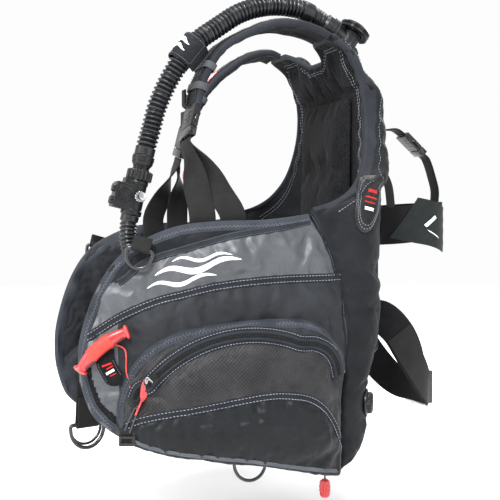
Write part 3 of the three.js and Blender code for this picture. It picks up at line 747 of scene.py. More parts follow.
floor_mesh.materials.append(paper.set(Base_Color=(0.97, 0.97, 0.97), Roughness=0.9, Specular_IOR_Level=0.05))
floor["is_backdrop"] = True
bpy.context.scene.view_settings.view_transform = "Standard"

# ---- The inflator hose, a free cord ----
STUB = Vector((0.05026, -0.83439, 0.54888))
hose_start = Vector((77.84, -64.357, 325.287))
HOSE_ROUTE = [tuple(hose_start), tuple(hose_start + STUB * 14), (84, -109, 345), (92, -158, 346),
    (100, -206, 332), (105, -245, 307), (109, -277, 283), (110, -298, 257), (107, -314, 230),
    (103, -328, 197), (100, -337, 163), (100, -343, 142), (100, -346, 130)]
HOSE_PITCH, COLLAR_AT = 6.2, 42.0
hose_line = smooth_line([Vector(p) * MM for p in HOSE_ROUTE], 410)
hose_length = line_length(hose_line)


def hose_radius(mm):
    """Radius of the corrugated hose at a distance along it, in millimetres."""
    if abs(mm - COLLAR_AT) < 9:
        return 14.6 - 0.9 * step(abs(mm - COLLAR_AT), 6.5, 9)
    if mm < COLLAR_AT:
        return 11.9 + 1.2 * (0.5 + 0.5 * math.sin(2 * math.pi * mm / 4.4))
    if mm > hose_length / MM - 9:
        return 13.6
    wave = 0.5 + 0.5 * math.sin(2 * math.pi * mm / HOSE_PITCH)
    return 10.6 + 3.6 * wave ** 0.7


hose = sweep("inflator_hose_ribbed", hose_line, lambda t: round_ring(hose_radius(t * hose_length / MM) * MM,
    28), "rubber")
finish_piece(hose, "vest", "rubber", "inflator_hose")


# ---- The vest shell: one padded back panel with its collar, two lobes and two cargo pockets ----
stitch_one = through([(198, -35), (302, -38), (374, -46), (416, -56), (451, -65), (497, -85), (529, -105),
    (543, -114)])
strip_seam = through([(240, 42), (278, 34), (350, 22), (408, 6), (465, -13), (497, -40)])
pocket_seam = through([(178, -271), (192, -241), (214, -214), (240, -198), (266, -192), (302, -190),
    (339, -194), (372, -200), (406, -206), (440, -211), (474, -219), (492, -228)])
YOKE_LINE = smooth_line([(0, -26, 238), (0, -38, 268), (0, -57, 290), (0, -80, 304)], 40)
YOKE_LENGTH = 83.0
SHELL_LOW, SHELL_HIGH = -306.0, 321.0
DUMP_S, DUMP_Z = 128.0, -215.0
shell_half = through([(-306, SEAM_S), (-126, SEAM_S), (-76, 188), (-26, 202), (20, 220), (50, 239),
    (58, 238), (68, 205), (84, 178), (118, 151), (172, 131), (214, 122), (238, 120), (321, 117)])


def shell_point(a, h, off):
    s = a * shell_half(h)
    side = 1 if s >= 0 else -1
    s = abs(s)
    if h <= YOKE_Z:
        z = h if h > HEM_Z else lerp(HEM_Z, cell_bottom(s), (HEM_Z - h) / (HEM_Z - SHELL_LOW))
        return wrap(side, s, z, off)
    x = plan(s)[0]
    u = (h - YOKE_Z) / YOKE_LENGTH * (1 - 0.42 * (1 - step(x, 20, 62)))
    k = clamp(u) * 40
    i = min(int(k), 39)
    p = YOKE_LINE[i].lerp(YOKE_LINE[i + 1], k - i)
    t = (YOKE_LINE[i + 1] - YOKE_LINE[i]).normalized()
    t = t.lerp(Vector((0, -0.18, 0.98)), max(0.0, 1 - u * 5)).normalized()
    bow = (-60 + math.sqrt(3600 - max(0.0, x - 95) ** 2)) * (1 - u)
    return Vector((side * x, p.y + bow, p.z)) * MM + Vector((0, t.z, -t.y)) * off * MM


def shell_outer(a, b):
    h = lerp(SHELL_LOW, SHELL_HIGH, b)
    half = shell_half(h)
    s = abs(2 * a - 1) * half
    bed = (1 - step(s, 80, 97)) * (1 - step(abs(h), 174, 200))
    low = clamp((h - SHELL_LOW) / 34)
    full = 15 * math.sqrt(1 - (1 - low) ** 2) * (1 - step(h, 190, 262)) * (1 - bed) * (1 - 0.75 * step(s,
        135, 215))
    near = clamp((half - s) / 15)
    roll = math.sqrt(1 - (1 - near) ** 2) * step(h, 56, 110) * step(s, 84, 108)
    edge = math.sqrt(1 - (1 - clamp((half - s) / 12)) ** 2)
    fat = lerp(24, 6, step(h, 225, 262))
    seat = 1 - step(math.hypot(s - DUMP_S, h - DUMP_Z), 21, 38) if 2 * a > 1 else 0
    return shell_point(2 * a - 1, h, lerp(3.2 + max(full * edge, roll * fat), 20.6, seat))


def shell_inner(a, b):
    h = lerp(SHELL_LOW, SHELL_HIGH, b)
    s = abs(2 * a - 1) * shell_half(h)
    deep = 8 * swell(clamp((h + 232) / 470)) * (1 - step(s, 120, 200)) * (1 - abs(2 * a - 1) ** 8)
    return shell_point(2 * a - 1, h, -3.2 - deep)


def shell_coords(a, b):
    h = lerp(SHELL_LOW, SHELL_HIGH, b)
    return ((2 * a - 1) * shell_half(h) * MM, h * MM, 0)


NU, NV = 84, 104
shell = closed_sheet("back_shell", NU, NV, shell_outer, shell_inner, ["shell", "spacer", "nylon"],
    coords=shell_coords)
layer = (NU + 1) * (NV + 1)
pins = []
for k in (0, 1):
    for i in range(NU + 1):
        for j in range(NV + 1):
            h = lerp(SHELL_LOW, SHELL_HIGH, j / NV)
            s = abs(2 * i / NU - 1) * shell_half(h)
            rim = i in (0, NU) or j in (0, NV)
            bed = s < 92 and abs(h) < 192 or (2 * i > NU and math.hypot(s - DUMP_S, h - DUMP_Z) < 22)
            if rim or bed or (k == 1 and s < 100 and h < 232):
                pins.append(k * layer + i * (NV + 1) + j)
puff(shell, pins, 3.5, 9, shrink=-0.05)
soften(shell)


def lobe_band(s):
    low = lobe_bottom(s)
    high = lobe_top(s) if s >= SEAM_TOP_S else seam_line(s) - 3
    return low, high


def lobe_point(a, b, off):
    s = lerp(SEAM_S + 1.5, LOBE_END, a)
    low, high = lobe_band(s)
    return wrap(1, s, lerp(low, high, b), off)


def lobe_coords(a, b):
    s = lerp(SEAM_S + 1.5, LOBE_END, a)
    low, high = lobe_band(s)
    return (s * MM, lerp(low, high, b) * MM, 0)


def lobe_front(a, b):
    return lobe_point(a, b, 3.4 + 6 * swell(b) * (1 - a ** 6))


def lobe_back(a, b):
    return lobe_point(a, b, -3.4 - 5 * swell(b) * (1 - a ** 6))


LU, LV = 80, 68
lobe = closed_sheet("lobe_left_shell", LU, LV, lobe_front, lobe_back,
    ["nylon", "strip", "coated", "spacer", "nylon"], coords=lobe_coords)
layer = (LU + 1) * (LV + 1)
pins = []
for k in (0, 1):
    for i in range(LU + 1):
        s = lerp(SEAM_S + 1.5, LOBE_END, i / LU)
        low, high = lobe_band(s)
        for j in range(LV + 1):
            z = lerp(low, high, j / LV)
            rim = i in (0, LU) or j in (0, LV)
            seam = k == 0 and (abs(z - stitch_one(s)) < 3.2 or (s > 240 and abs(z - strip_seam(s)) < 2.6))
            quilt = k == 1 and (abs(z + 110) < 2.6 or abs(s - 330) < 2.6)
            under = k == 0 and s < 498 and z < pocket_top(max(s, 182)) - 12
            if rim or seam or quilt or under:
                pins.append(k * layer + i * (LV + 1) + j)
puff(lobe, pins, 5, 9, shrink=-0.07)
soften(lobe)

POCKET_A, POCKET_B = 180.0, 499.0


def pocket_coords(a, b):
    s = lerp(POCKET_A, POCKET_B, a)
    low, high = lobe_bottom(s) - 1, pocket_top(s)
    return (s * MM, lerp(low, high, b) * MM, 0)


def pocket_front(a, b):
    s, z, _ = pocket_coords(a, b)
    full = 20 * pocket_rise(b) * math.sqrt(max(0.02, 1 - (2 * a - 1) ** 6))
    return wrap(1, s / MM, z / MM, 15.2 + full)


def pocket_back(a, b):
    s, z, _ = pocket_coords(a, b)
    return wrap(1, s / MM, z / MM, POCKET_IN)


PU, PV = 76, 40
pocket = closed_sheet("cargo_pocket_left_shell", PU, PV, pocket_front, pocket_back,
    ["nylon", "ballistic", "coated_blue"], coords=pocket_coords)
layer = (PU + 1) * (PV + 1)
pins = []
for k in (0, 1):
    for i in range(PU + 1):
        for j in range(PV + 1):
            s, z, _ = (c / MM for c in pocket_coords(i / PU, j / PV))
            if i in (0, PU) or j in (0, PV) or k == 1 or abs(z - pocket_seam(s)) < 2.8:
                pins.append(k * layer + i * (PV + 1) + j)
puff(pocket, pins, 5, 10, shrink=-0.08)

# The pocket front is drawn to the plane of the zip along its arch.
ZIP_S, ZIP_Z, ZIP_OFF, ZIP_R, ZIP_SHIFT = 360.0, -290.0, 28.5, 181.0, 33.0
zip_out = outward(1, ZIP_S)
zip_rear = Vector((-math.cos(plan(ZIP_S)[2]), -math.sin(plan(ZIP_S)[2]), 0))
zip_at = wrap(1, ZIP_S, ZIP_Z, ZIP_OFF)


def zip_point(degrees, lift=0.0, reach=ZIP_R):
    t = math.radians(degrees)
    return zip_at + (zip_rear * (ZIP_SHIFT - reach * math.sin(t)) + Vector((0, 0,
        1)) * reach * math.cos(t) + zip_out * lift) * MM


tail_points = [zip_point(-17), zip_point(-21)] + [wrap(1, s, z, off) for s, z,
    off in ((236, -124, 27), (214, -134, 24), (198, -150, 20), (188, -170, 17))]
front_tail = [wrap(1, s, z, off) for s, z, off in ((478, -192, 20), (471, -178, 24))]
zip_line = smooth_line(front_tail + [zip_point(49.5), zip_point(47)],
    12)[:-1] + [zip_point(47 - 64 * i / 58) for i in range(58)] + smooth_line(tail_points, 34)
for v in pocket.data.vertices:
    near = min(zip_line, key=lambda q: (q.x - v.co.x) ** 2 + (q.y - v.co.y) ** 2 + (q.z - v.co.z) ** 2)
    if (near - v.co).dot(zip_out) < 9 * MM + 0.02:
        flat = near - v.co
        depth = flat.dot(zip_out)
        aside = (flat - zip_out * depth).length / MM
        if v.index < layer and aside < 22:
            v.co += zip_out * (depth - 0.9 * MM) * (1 - step(aside, 8, 22))
soften(pocket)


def paint(ob, rule):
    """Sets each face's material from its cloth coordinates in millimetres."""
    co = ob.data.attributes["cloth"].data
    for f in ob.data.polygons:
        s = sum(co[i].vector[0] for i in f.vertices) / len(f.vertices) / MM
        z = sum(co[i].vector[1] for i in f.vertices) / len(f.vertices) / MM
        f.material_index = rule(s, z, f)


FRONT_EDGE = [(546, -100), (551, -118), (552.5, -146), (550, -172), (534, -215), (515, -233), (500, -243),
    (470, -258)]


def lobe_rule(s, z, f):
    n = outward(1, s)
    if f.normal.dot(n) < 0:
        return 4
    if s > 498 and z < stitch_one(s) - 6:
        deep = min(math.dist((s, z), q) for q in smooth_front)
        return 3 if 8 < deep < 21 and z < -150 else 2
    if z > strip_seam(s) and s > 236:
        return 1
    if z > stitch_one(s):
        return 2
    return 0


smooth_front = [(q.x, q.y) for q in smooth_line([(s, z, 0) for s, z in FRONT_EDGE], 60)]


def pocket_rule(s, z, _):
    if z < pocket_seam(s):
        return 2
    return 0 if z > pocket_top(s) - 14 else 1


def shell_rule(s, h, f):
    inside = f.normal.y < 0 and abs(s) < 120
    if h > 150 and inside:
        return 1
    return 0


paint(lobe, lobe_rule)
paint(pocket, pocket_rule)
paint(shell, shell_rule)


def roughen(ob, fine, coarse, seed, rule=None):
    """Soft random dents and creases, along each point's normal, in millimetres."""
    normals = [v.normal.copy() for v in ob.data.vertices]
    for v, n in zip(ob.data.vertices, normals):
        p = v.co + Vector((seed, seed * 0.7, -seed))
        d = coarse * noise.noise(p * 22) + fine * (abs(noise.noise(p * 62)) * 2 - 0.5)
        d += fine * 0.5 * noise.noise(p * 150)
        if rule:
            d *= rule(v)
        v.co += n * d * MM


roughen(lobe, 0.8, 1.7, 3.1)
roughen(pocket, 0.9, 1.8, 9.2,
    lambda v: 1 - (1 - step(min((q - v.co).length for q in zip_line[::2]) / MM, 8, 20)))
roughen(shell, 0.7, 1.4, 5.5)


def mirrored(ob, name):
    me = ob.data.copy()
    me.name = name
    me.transform(Matrix.Diagonal((-1, 1, 1, 1)))
    me.flip_normals()
    other = bpy.data.objects.new(name, me)
    bpy.context.scene.collection.objects.link(other)
    return other


lobe_right = mirrored(lobe, "lobe_right_shell")
pocket_right = mirrored(pocket, "cargo_pocket_right_shell")
finish_piece(shell, "vest", "nylon", "rear_air_cell", "neck_yoke")
finish_piece(lobe, "vest", "nylon", "lobe_left")
finish_piece(lobe_right, "vest", "nylon", "lobe_right")
finish_piece(pocket, "vest", "nylon", "cargo_pocket_left")
finish_piece(pocket_right, "vest", "nylon", "cargo_pocket_right")


def tree_of(*obs):
    verts, faces = [], []
    for ob in obs:
        base = len(verts)
        verts += [v.co.copy() for v in ob.data.vertices]
        faces += [[base + i for i in f.vertices] for f in ob.data.polygons]
    return BVHTree.FromPolygons(verts, faces)


FACE = tree_of(shell, lobe, pocket)


# ---- Tapes, bindings and stitching that lie on the cloth ----
def on_lobe(s, z, off):
    return wrap(1, s, z, off)


def on_shell(s, h, off):
    return shell_point(s / shell_half(h), h, off)


def drop(place, q, lift, tree, inner=False):
    """Drops (u, v) on to the cloth, from outside or from the diver's side."""
    far = place(q.x, q.y, -70 if inner else 70)
    base = place(q.x, q.y, 0)
    d = (base - far).normalized()
    hit = tree.ray_cast(far, d, 0.1)[0]
    if hit is None:
        hit = place(q.x, q.y, -3.4 if inner else 3.4)
    return hit - d * lift * MM, -d


def rails(place, tree, path, offsets, count, lift, inner=False, relax=2):
    """Lines on the cloth beside a (u, v) path, one for each offset in millimetres, and their normals."""
    flat = smooth_line([Vector((p[0], p[1], 0)) for p in path], count)
    lines, normals = [], []
    for o, up in zip(offsets, lift if isinstance(lift, (list, tuple)) else [lift] * len(offsets)):
        row, out = [], []
        for i, p in enumerate(flat):
            t = (flat[min(i + 1, count)] - flat[max(i - 1, 0)]).normalized()
            q = p + Vector((-t.y, t.x, 0)) * o
            a, n = drop(place, q, up, tree, inner)
            row.append(a)
            out.append(n)
        for _ in range(relax):
            row = [row[0]] + [(a + b * 2 + c) / 4 for a, b, c in zip(row, row[1:], row[2:])] + [row[-1]]
        lines.append(row)
        normals.append(out)
    return lines, normals


def strip(name, place, tree, path, width, mat, lift=0.9, count=None, inner=False):
    """A flat tape sewn on the cloth along a (u, v) path."""
    count = count or max(8, int(sum(math.dist(a[:2], b[:2]) for a, b in zip(path, path[1:])) / 4))
    w = width / 2
    offsets = [-w, -w * 0.86, -w * 0.4, 0, w * 0.4, w * 0.86, w]
    lines, _ = rails(place, tree, path, offsets, count,
        [lift * 0.35, lift, lift * 1.1, lift * 1.15, lift * 1.1, lift, lift * 0.35], inner)
    under, _ = rails(place, tree, path, [w, -w], count, -1.6, inner)
    lines += under
    n = len(lines)
    verts, cloth, faces = [], [], []
    along = 0.0
    for i in range(count + 1):
        if i:
            along += (lines[3][i] - lines[3][i - 1]).length
        for k in range(n):
            verts.append(lines[k][i])
            cloth.append((along, (offsets + [w, -w])[k] * MM, 0))
    for i in range(count):
        for k in range(n):
            faces.append((i * n + k, i * n + (k + 1) % n, (i + 1) * n + (k + 1) % n, (i + 1) * n + k))
    faces.append(tuple(range(n)))
    faces.append(tuple(range(count * n, count * n + n)))
    return new_object(name, verts, faces, mat, cloth=cloth, sharp=60)


def rim(name, place, tree, path, mat, width=10.0, out=1.8, half=4.3, count=None):
    """A binding folded over the cloth's edge, along a (u, v) path that runs with the cloth on its left."""
    count = count or max(10, int(sum(math.dist(a[:2], b[:2]) for a, b in zip(path, path[1:])) / 4))
    face, _ = rails(place, tree, path, [width, width * 0.8, width * 0.4], count, [0.25, 1.0, 1.15])
    inner, _ = rails(place, tree, path, [width * 0.4, width * 0.8, width], count, [1.15, 1.0, 0.25],
        inner=True)
    flat = smooth_line([Vector((p[0], p[1], 0)) for p in path], count)
    edge = [[] for _ in range(5)]
    for i, p in enumerate(flat):
        t = (flat[min(i + 1, count)] - flat[max(i - 1, 0)]).normalized()
        side = Vector((t.y, -t.x, 0))
        for k, (o, off) in enumerate(((0.2, half), (out * 0.8, half * 0.7), (out, 0),
                (out * 0.8, -half * 0.7), (0.2, -half))):
            q = p + side * o
            edge[k].append(place(q.x, q.y, off))
    middle = [(a + b) / 2 for a, b in zip(face[0], inner[-1])]
    lines = face + edge + inner + [middle]
    n = len(lines)
    verts, cloth, faces = [], [], []
    across = [-10, -8, -4, -1, 0, 1, 2, 3, 6, 10, 12, 0]
    along = 0.0
    for i in range(count + 1):
        if i:
            along += (lines[0][i] - lines[0][i - 1]).length
        for k in range(n):
            verts.append(lines[k][i])
            cloth.append((along, across[k] * MM, 0))
    for i in range(count):
        for k in range(n):
            faces.append((i * n + k, i * n + (k + 1) % n, (i + 1) * n + (k + 1) % n, (i + 1) * n + k))
    faces.append(tuple(range(n)))
    faces.append(tuple(range(count * n, count * n + n)))
    return new_object(name, verts, faces, mat, cloth=cloth, sharp=70)


class Threads:
    """Many sewn dashes gathered in one mesh."""

    def __init__(self):
        self.verts, self.faces = [], []

    def dash(self, a, b, normal, r):
        t = (b - a).normalized()
        side = t.cross(normal).normalized()
        base = len(self.verts)
        for p, k in ((a, 0.45), (a.lerp(b, 0.2), 1.0), (a.lerp(b, 0.8), 1.0), (b, 0.45)):
            for j in range(6):
                w = math.pi * j / 3
                self.verts.append(
                    p + side * (math.cos(w) * r * k * MM)
                    + normal * (math.sin(w) * r * k * 0.7 * MM))
        for i in range(3):
            for j in range(6):
                self.faces.append((base + i * 6 + j, base + i * 6 + (j + 1) % 6,
                    base + i * 6 + 6 + (j + 1) % 6, base + i * 6 + 6 + j))
        self.faces.append(tuple(base + j for j in range(5, -1, -1)))
        self.faces.append(tuple(base + 18 + j for j in range(6)))

    def sew(self, place, tree, path, offset=0.0, pitch=4.6, length=3.2, r=0.42, lift=1.4, inner=False):
        total = sum(math.dist(a[:2], b[:2]) for a, b in zip(path, path[1:]))
        count = max(3, int(total / pitch)) * 2
        lines, normals = rails(place, tree, path, [offset], count, lift, inner, relax=1)
        row, out = lines[0], normals[0]
        for i in range(0, count - 1, 2):
            a, b = row[i], row[i + 1]
            mid, half = (a + b) / 2, (b - a).normalized() * length * MM / 2
            self.dash(mid - half, mid + half, out[i], r)

    def zigzag(self, place, tree, path, centre, swing, pitch=2.6, r=0.34, lift=1.4, inner=False):
        total = sum(math.dist(a[:2], b[:2]) for a, b in zip(path, path[1:]))
        count = max(3, int(total / pitch))
        lines, normals = rails(place, tree, path, [centre - swing, centre + swing], count, lift, inner,
            relax=1)
        for i in range(count):
            self.dash(lines[i % 2][i], lines[(i + 1) % 2][i + 1], normals[0][i], r)

    def sew_line(self, line, normal, pitch=4.6, length=3.2, r=0.42):
        """Dashes along a line in space."""
        count = max(2, int(line_length(line) / MM / pitch))
        pts = smooth_line(line, count * 2)
        for i in range(0, count * 2 - 1, 2):
            mid, half = (pts[i] + pts[i + 1]) / 2, (pts[i + 1] - pts[i]).normalized() * length * MM / 2
            n = normal(i / (count * 2)) if callable(normal) else normal
            self.dash(mid - half, mid + half, n, r)

    def made(self, name, mat):
        return new_object(name, self.verts, self.faces, mat, cloth=[tuple(v) for v in self.verts])


def both(ob, slot="webbing"):
    """The left piece and its mirror image on the right, both on the vest."""
    other = mirrored(ob, ob.name.replace("left", "right"))
    finish_piece(ob, "vest", slot)
    finish_piece(other, "vest", slot)
    return ob, other


pale, grey = Threads(), Threads()


def along(curve, s0, s1, n=24, shift=0.0):
    return [(lerp(s0, s1, i / n), curve(lerp(s0, s1, i / n)) + shift) for i in range(n + 1)]


top_edge = [(242, 50)] + along(lobe_top, 262, 540, 20) + [(551, -118), (552.5, -146), (550, -172),
    (534, -215), (515, -233), (500, -243)]
bottom_edge = along(lobe_bottom, 500, 176, 26)
both(rim("lobe_binding_left", on_lobe, FACE, list(reversed(top_edge)), "binding", width=11.5))
both(rim("lobe_hem_left", on_lobe, FACE, list(reversed(bottom_edge)), "binding_light", width=9))
grey.zigzag(on_lobe, FACE, top_edge, -6.2, 1.6)
grey.sew(on_lobe, FACE, bottom_edge, -5.5, pitch=3.6, length=2.4)

side_seam = [(238, 52), (220, 20), (202, -26), (188, -76), (176, -122), (175, -170), (175, -230),
    (175, -303)]
both(strip("side_seam_tape_left", on_lobe, FACE, side_seam, 7, "tape", lift=1.2))
grey.sew(on_lobe, FACE, side_seam, 1.2, pitch=3.6, length=2.4, r=0.36, lift=1.7)

seam_a = along(stitch_one, 196, 545, 30)
both(strip("seam_tape_left", on_lobe, FACE, seam_a, 12, "tape", lift=1.0))
for o in (-3.4, 3.4):
    pale.sew(on_lobe, FACE, seam_a, o)
seam_b = along(strip_seam, 241, 500, 24)
both(strip("strip_tape_left", on_lobe, FACE, seam_b, 10, "tape_blue", lift=1.1))
for o in (-3.4, 3.4):
    grey.sew(on_lobe, FACE, seam_b, o, pitch=3.0, length=1.9, r=0.32, lift=1.5)
seam_c = along(pocket_seam, 181, 489, 30)
both(strip("pocket_tape_left", on_lobe, FACE, seam_c, 11, "tape", lift=1.0))
for o in (-3.2, 3.2):
    pale.sew(on_lobe, FACE, seam_c, o)
pocket_edge = [(181, -298), (180.5, -230), (181, -160)] + along(pocket_top, 186, 496, 34) + [(497.5, -225),
    (495, -240)]
both(strip("pocket_binding_left", on_lobe, FACE, [(s, z) for s, z in pocket_edge[2:]], 11, "binding",
    lift=1.0))
grey.zigzag(on_lobe, FACE, pocket_edge[2:], 0, 2.6, pitch=2.3)

# A plain wave mark on the upper panel, in place of the maker's.


def ribbon_patch(name, lines, place, tree, mat, lift, inner=False):
    """A thin closed patch between (u, v) lines of equal length."""
    rows = []
    for line in lines:
        rows.append([drop(place, Vector((u, v, 0)), lift, tree, inner)[0] for u, v in line])
    low_rows = [[drop(place, Vector((u, v, 0)), -0.8, tree, inner)[0] for u, v in line]
        for line in (lines[0], lines[-1])]
    n, m = len(rows), len(rows[0])
    verts = [p for r in rows for p in r]
    cloth = [(u * MM, v * MM, 0) for line in lines for u, v in line]
    faces = [(r * m + i, r * m + i + 1, (r + 1) * m + i + 1, (r + 1) * m + i) for r in range(n - 1)
        for i in range(m - 1)]
    a, b = len(verts), len(verts) + m
    verts += low_rows[0] + low_rows[1]
    cloth += [(u * MM, v * MM, 0) for line in (lines[0], lines[-1]) for u, v in line]
    for i in range(m - 1):
        faces.append((a + i, a + i + 1, i + 1, i))
        faces.append((b + i, b + i + 1, (n - 1) * m + i + 1, (n - 1) * m + i))
        faces.append((a + i, a + i + 1, b + i + 1, b + i))
    left = [r * m for r in range(n)] + [b, a]
    right = [r * m + m - 1 for r in range(n)] + [b + m - 1, a + m - 1]
    faces += [tuple(left), tuple(right)]
    return new_object(name, verts, faces, mat, cloth=cloth)


def wave(u0, u1, base, rise, height, thick):
    lines = []
    for k in (0, 0.5, 1):
        row = []
        for i in range(49):
            t = i / 48
            body = thick * (0.15 + 0.85 * math.sin(math.pi * min(1, t * 1.02)) ** 0.6)
            row.append((lerp(u0, u1, t),
                base + rise * t + height * math.sin(t * 3.1 * math.pi) * (1 - 0.35 * t) + (k - 0.5) * body))
        lines.append(row)
    return lines


for i, (u0, u1, base, rise, height, thick) in enumerate(((452, 340, -30, 22, 5.5, 8.5),
        (462, 372, -47, 18, 4.5, 6.0), (430, 352, -12, 10, 4.0, 4.5))):
    both(ribbon_patch("wave_mark_%d_left" % i, wave(u0, u1, base, rise, height, thick), on_lobe, FACE,
        "white", 0.7), "nylon")


# ---- The pocket zips ----
def zip_normal(t):
    s = 470 - 290 * t
    return outward(1, s) if t > 0.78 else zip_out


zip_tape = sweep("zip_tape_left", [p + zip_normal(i / (len(zip_line) - 1)) * 0.2 * MM for i,
    p in enumerate(smooth_line(zip_line, 110))], lambda t: flat_ring(24 * MM, 1.2 * MM), "tape",
    frames=lambda t, tan: zip_normal(t).cross(tan))
finish_piece(zip_tape, "vest", "nylon", "pocket_zip_left")
finish_piece(mirrored(zip_tape, "zip_tape_right"), "vest", "nylon", "pocket_zip_right")


def zip_rows(offset, lift):
    pts = smooth_line(zip_line, 150)
    row = []
    for i, p in enumerate(pts):
        t = (pts[min(i + 1, 150)] - pts[max(i - 1, 0)]).normalized()
        n = zip_normal(i / 150)
        row.append(p + n.cross(t).normalized() * offset * MM + n * lift * MM)
    return row


for side_name, offset in (("upper", 4.6), ("lower", -4.6)):
    row = zip_rows(offset, 1.3)
    ridge = sweep("zip_ridge_%s_left" % side_name, row,
        lambda t: [(x * 1.9 * MM, y * 1.0 * MM) for x, y in round_ring(1, 10)], "tape_blue",
        frames=lambda t, tan: zip_normal(t).cross(tan))
    both(ridge, "nylon")
    edge_row = zip_rows(offset * 2.05, 1.0)
    pale.sew_line(edge_row, lambda t: zip_normal(t), pitch=4.2, length=2.8, r=0.4)
teeth = []
faces = []
zip_pts = smooth_line(zip_line, 280)
for i in range(1, 280):
    p = zip_pts[i]
    t = (zip_pts[min(i + 1, 280)] - zip_pts[i - 1]).normalized()
    n = zip_normal(i / 280)
    side = n.cross(t).normalized() * (1 if i % 2 else -1)
    base = len(teeth)
    for x, w in ((-0.6, 0.34), (2.9, 0.5)):
        for a, b in ((-w, -0.4), (w, -0.4), (w * 0.7, 1.3), (-w * 0.7, 1.3)):
            teeth.append(p + side * x * MM + t * a * MM + n * (b + 0.6) * MM)
    faces += [tuple(base + k for k in f) for f in ((0, 1, 2, 3), (7, 6, 5, 4), (0, 4, 5, 1), (1, 5, 6, 2),
        (2, 6, 7, 3), (3, 7, 4, 0))]
both(new_object("zip_teeth_left", teeth, faces, "plastic"), "plastic")

for side_name, side in (("left", 1), ("right", -1)):
    flip = Matrix.Diagonal((side, 1, 1, 1))
    t0 = (zip_point(47) - zip_point(45)).normalized()
    m = Matrix((zip_out.cross(t0), t0, zip_out)).transposed().to_4x4()
    m.translation = zip_point(46, 1.6)
    m = flip @ m
    body_name = side_name + "_zip_slider"
    slider = block("zip_slider_%s_new" % side_name, [(9, 13, 2.2, 0, 0, 2.6), (9, 11, 1.6, 0, 0, 6.0),
        (4, 5, 5, 0, 3, 4)], "plastic", body_name, m, bevel=0.7)
    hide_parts("zip_slider_" + side_name)

    def hung(s, z, lift, side=side):
        p = drop(on_lobe, Vector((s, z, 0)), lift, FACE)[0]
        return Vector((p.x * side, p.y, p.z)) / MM

    top = (m @ (Vector((0, 3, 6)) * MM)) / MM
    tube("zip_loop_" + side_name, [top, hung(461, -160, 11), hung(463, -167, 10), hung(462, -169, 8.5),
        hung(460, -163, 9), top + Vector((0, 0, -1))], 1.0, body_name, "steel", 30, 8)
    tag_line = smooth_line([hung(462, -164, 6.5) * MM, hung(464, -172, 5.5) * MM, hung(466, -186, 5.0) * MM,
        hung(468, -193, 4.6) * MM], 40)
    tag_axis = Vector((side * math.cos(plan(464)[2]), math.sin(plan(464)[2]), 0)).normalized()
    tag = sweep("zip_tag_" + side_name, tag_line,
        lambda t: [(math.copysign(abs(c) ** 0.7, c) * lerp(3.4, 5.0,
        math.sin(math.pi * clamp(t * 0.9 + 0.05))) * MM * (1 if t < 0.8 else lerp(1, 0.6, (t - 0.8) / 0.2)),
        math.copysign(abs(s) ** 0.7, s) * (2.0 + 0.25 * math.sin(t * 60)) * MM) for c,
        s in round_ring(1, 18)], "red", frames=lambda t, tan: tag_axis)
    finish_piece(tag, body_name, "red")
    tube("zip_cord_" + side_name, [hung(468, -191, 4.6), hung(471, -199, 4.0), hung(474, -206, 3.6),
        hung(476, -211, 3.4)], 1.5, body_name, "red", 30, 10)
    glide_at = drop(on_lobe, Vector((487, -240, 0)), 3.0, FACE)[0]
    glide_n = outward(1, 487)
    gm = Matrix((Vector((0, 0, 1)).cross(glide_n), Vector((0, 0, 1)), glide_n)).transposed().to_4x4()
    gm.translation = glide_at
    gm = flip @ gm
    block("tri_glide_" + side_name, [(20, 4.5, 3.4, 0, 9.5, 0), (20, 4.5, 3.4, 0, -9.5, 0),
        (20, 3.6, 4.2, 0, 0, 0.6), (4, 22, 3.2, 8.6, 0, 0), (4, 22, 3.2, -8.6, 0, 0)], "gloss", "vest", gm,
        bevel=0.8)
    webbing("tri_glide_webbing_" + side_name, [hung(489, -227, 2.2), hung(488, -233, 4.6),
        hung(487, -240, 2.0), hung(487, -248, 4.0), hung(486, -253, 1.4)], 15, 1.6, lambda t: tag_axis,
        "vest", count=40)
    loop_points = [hung(490, -233, 4.5), hung(486, -222, 3.2), hung(480, -209, 3.0), hung(477, -203, 3.6),
                   hung(474, -204, 3.6), hung(477, -216, 3.0), hung(483, -233, 4.5)]
    bungee = tube("bungee_" + side_name, loop_points, 1.1, "vest", "elastic", 70, 9)
    free_cord(loop_points)

both(pale.made("pale_stitching_left", "thread"))
both(grey.made("grey_stitching_left", "thread_grey"))


# ---- Shoulder pads ----
LEFT_STRAP = [(94, -83, 304), (94, -98, 310.5), (95, -125, 316), (95, -160, 316.5), (95, -197, 303),
    (94, -240, 277), (93, -264, 238), (98, -276, 200)]
RIGHT_STRAP = [(-94, -83, 304), (-94, -98, 308.5), (-95, -130, 302), (-95, -170, 277), (-94, -198, 250),
    (-92.5, -216, 222), (-98, -229, 190)]
pad_width = through([(0, 56), (0.2, 66), (0.6, 60), (1, 46)])
X_AXIS = Vector((1, 0, 0))


class Strap:
    """A shoulder pad's line with its own across and up axes."""

    def __init__(self, points, count=120):
        self.line = smooth_line([Vector(p) * MM for p in points], count)
        self.count = count
        self.length = line_length(self.line) / MM

    def at(self, u, v, off):
        """u along and v across, in millimetres, off above the pad's middle."""
        k = clamp(u / self.length) * self.count
        i = min(int(k), self.count - 1)
        p = self.line[i].lerp(self.line[i + 1], k - i)
        t = (self.line[i + 1] - self.line[i]).normalized()
        up = t.cross(X_AXIS).normalized()
        return p + X_AXIS * v * MM + up * off * MM


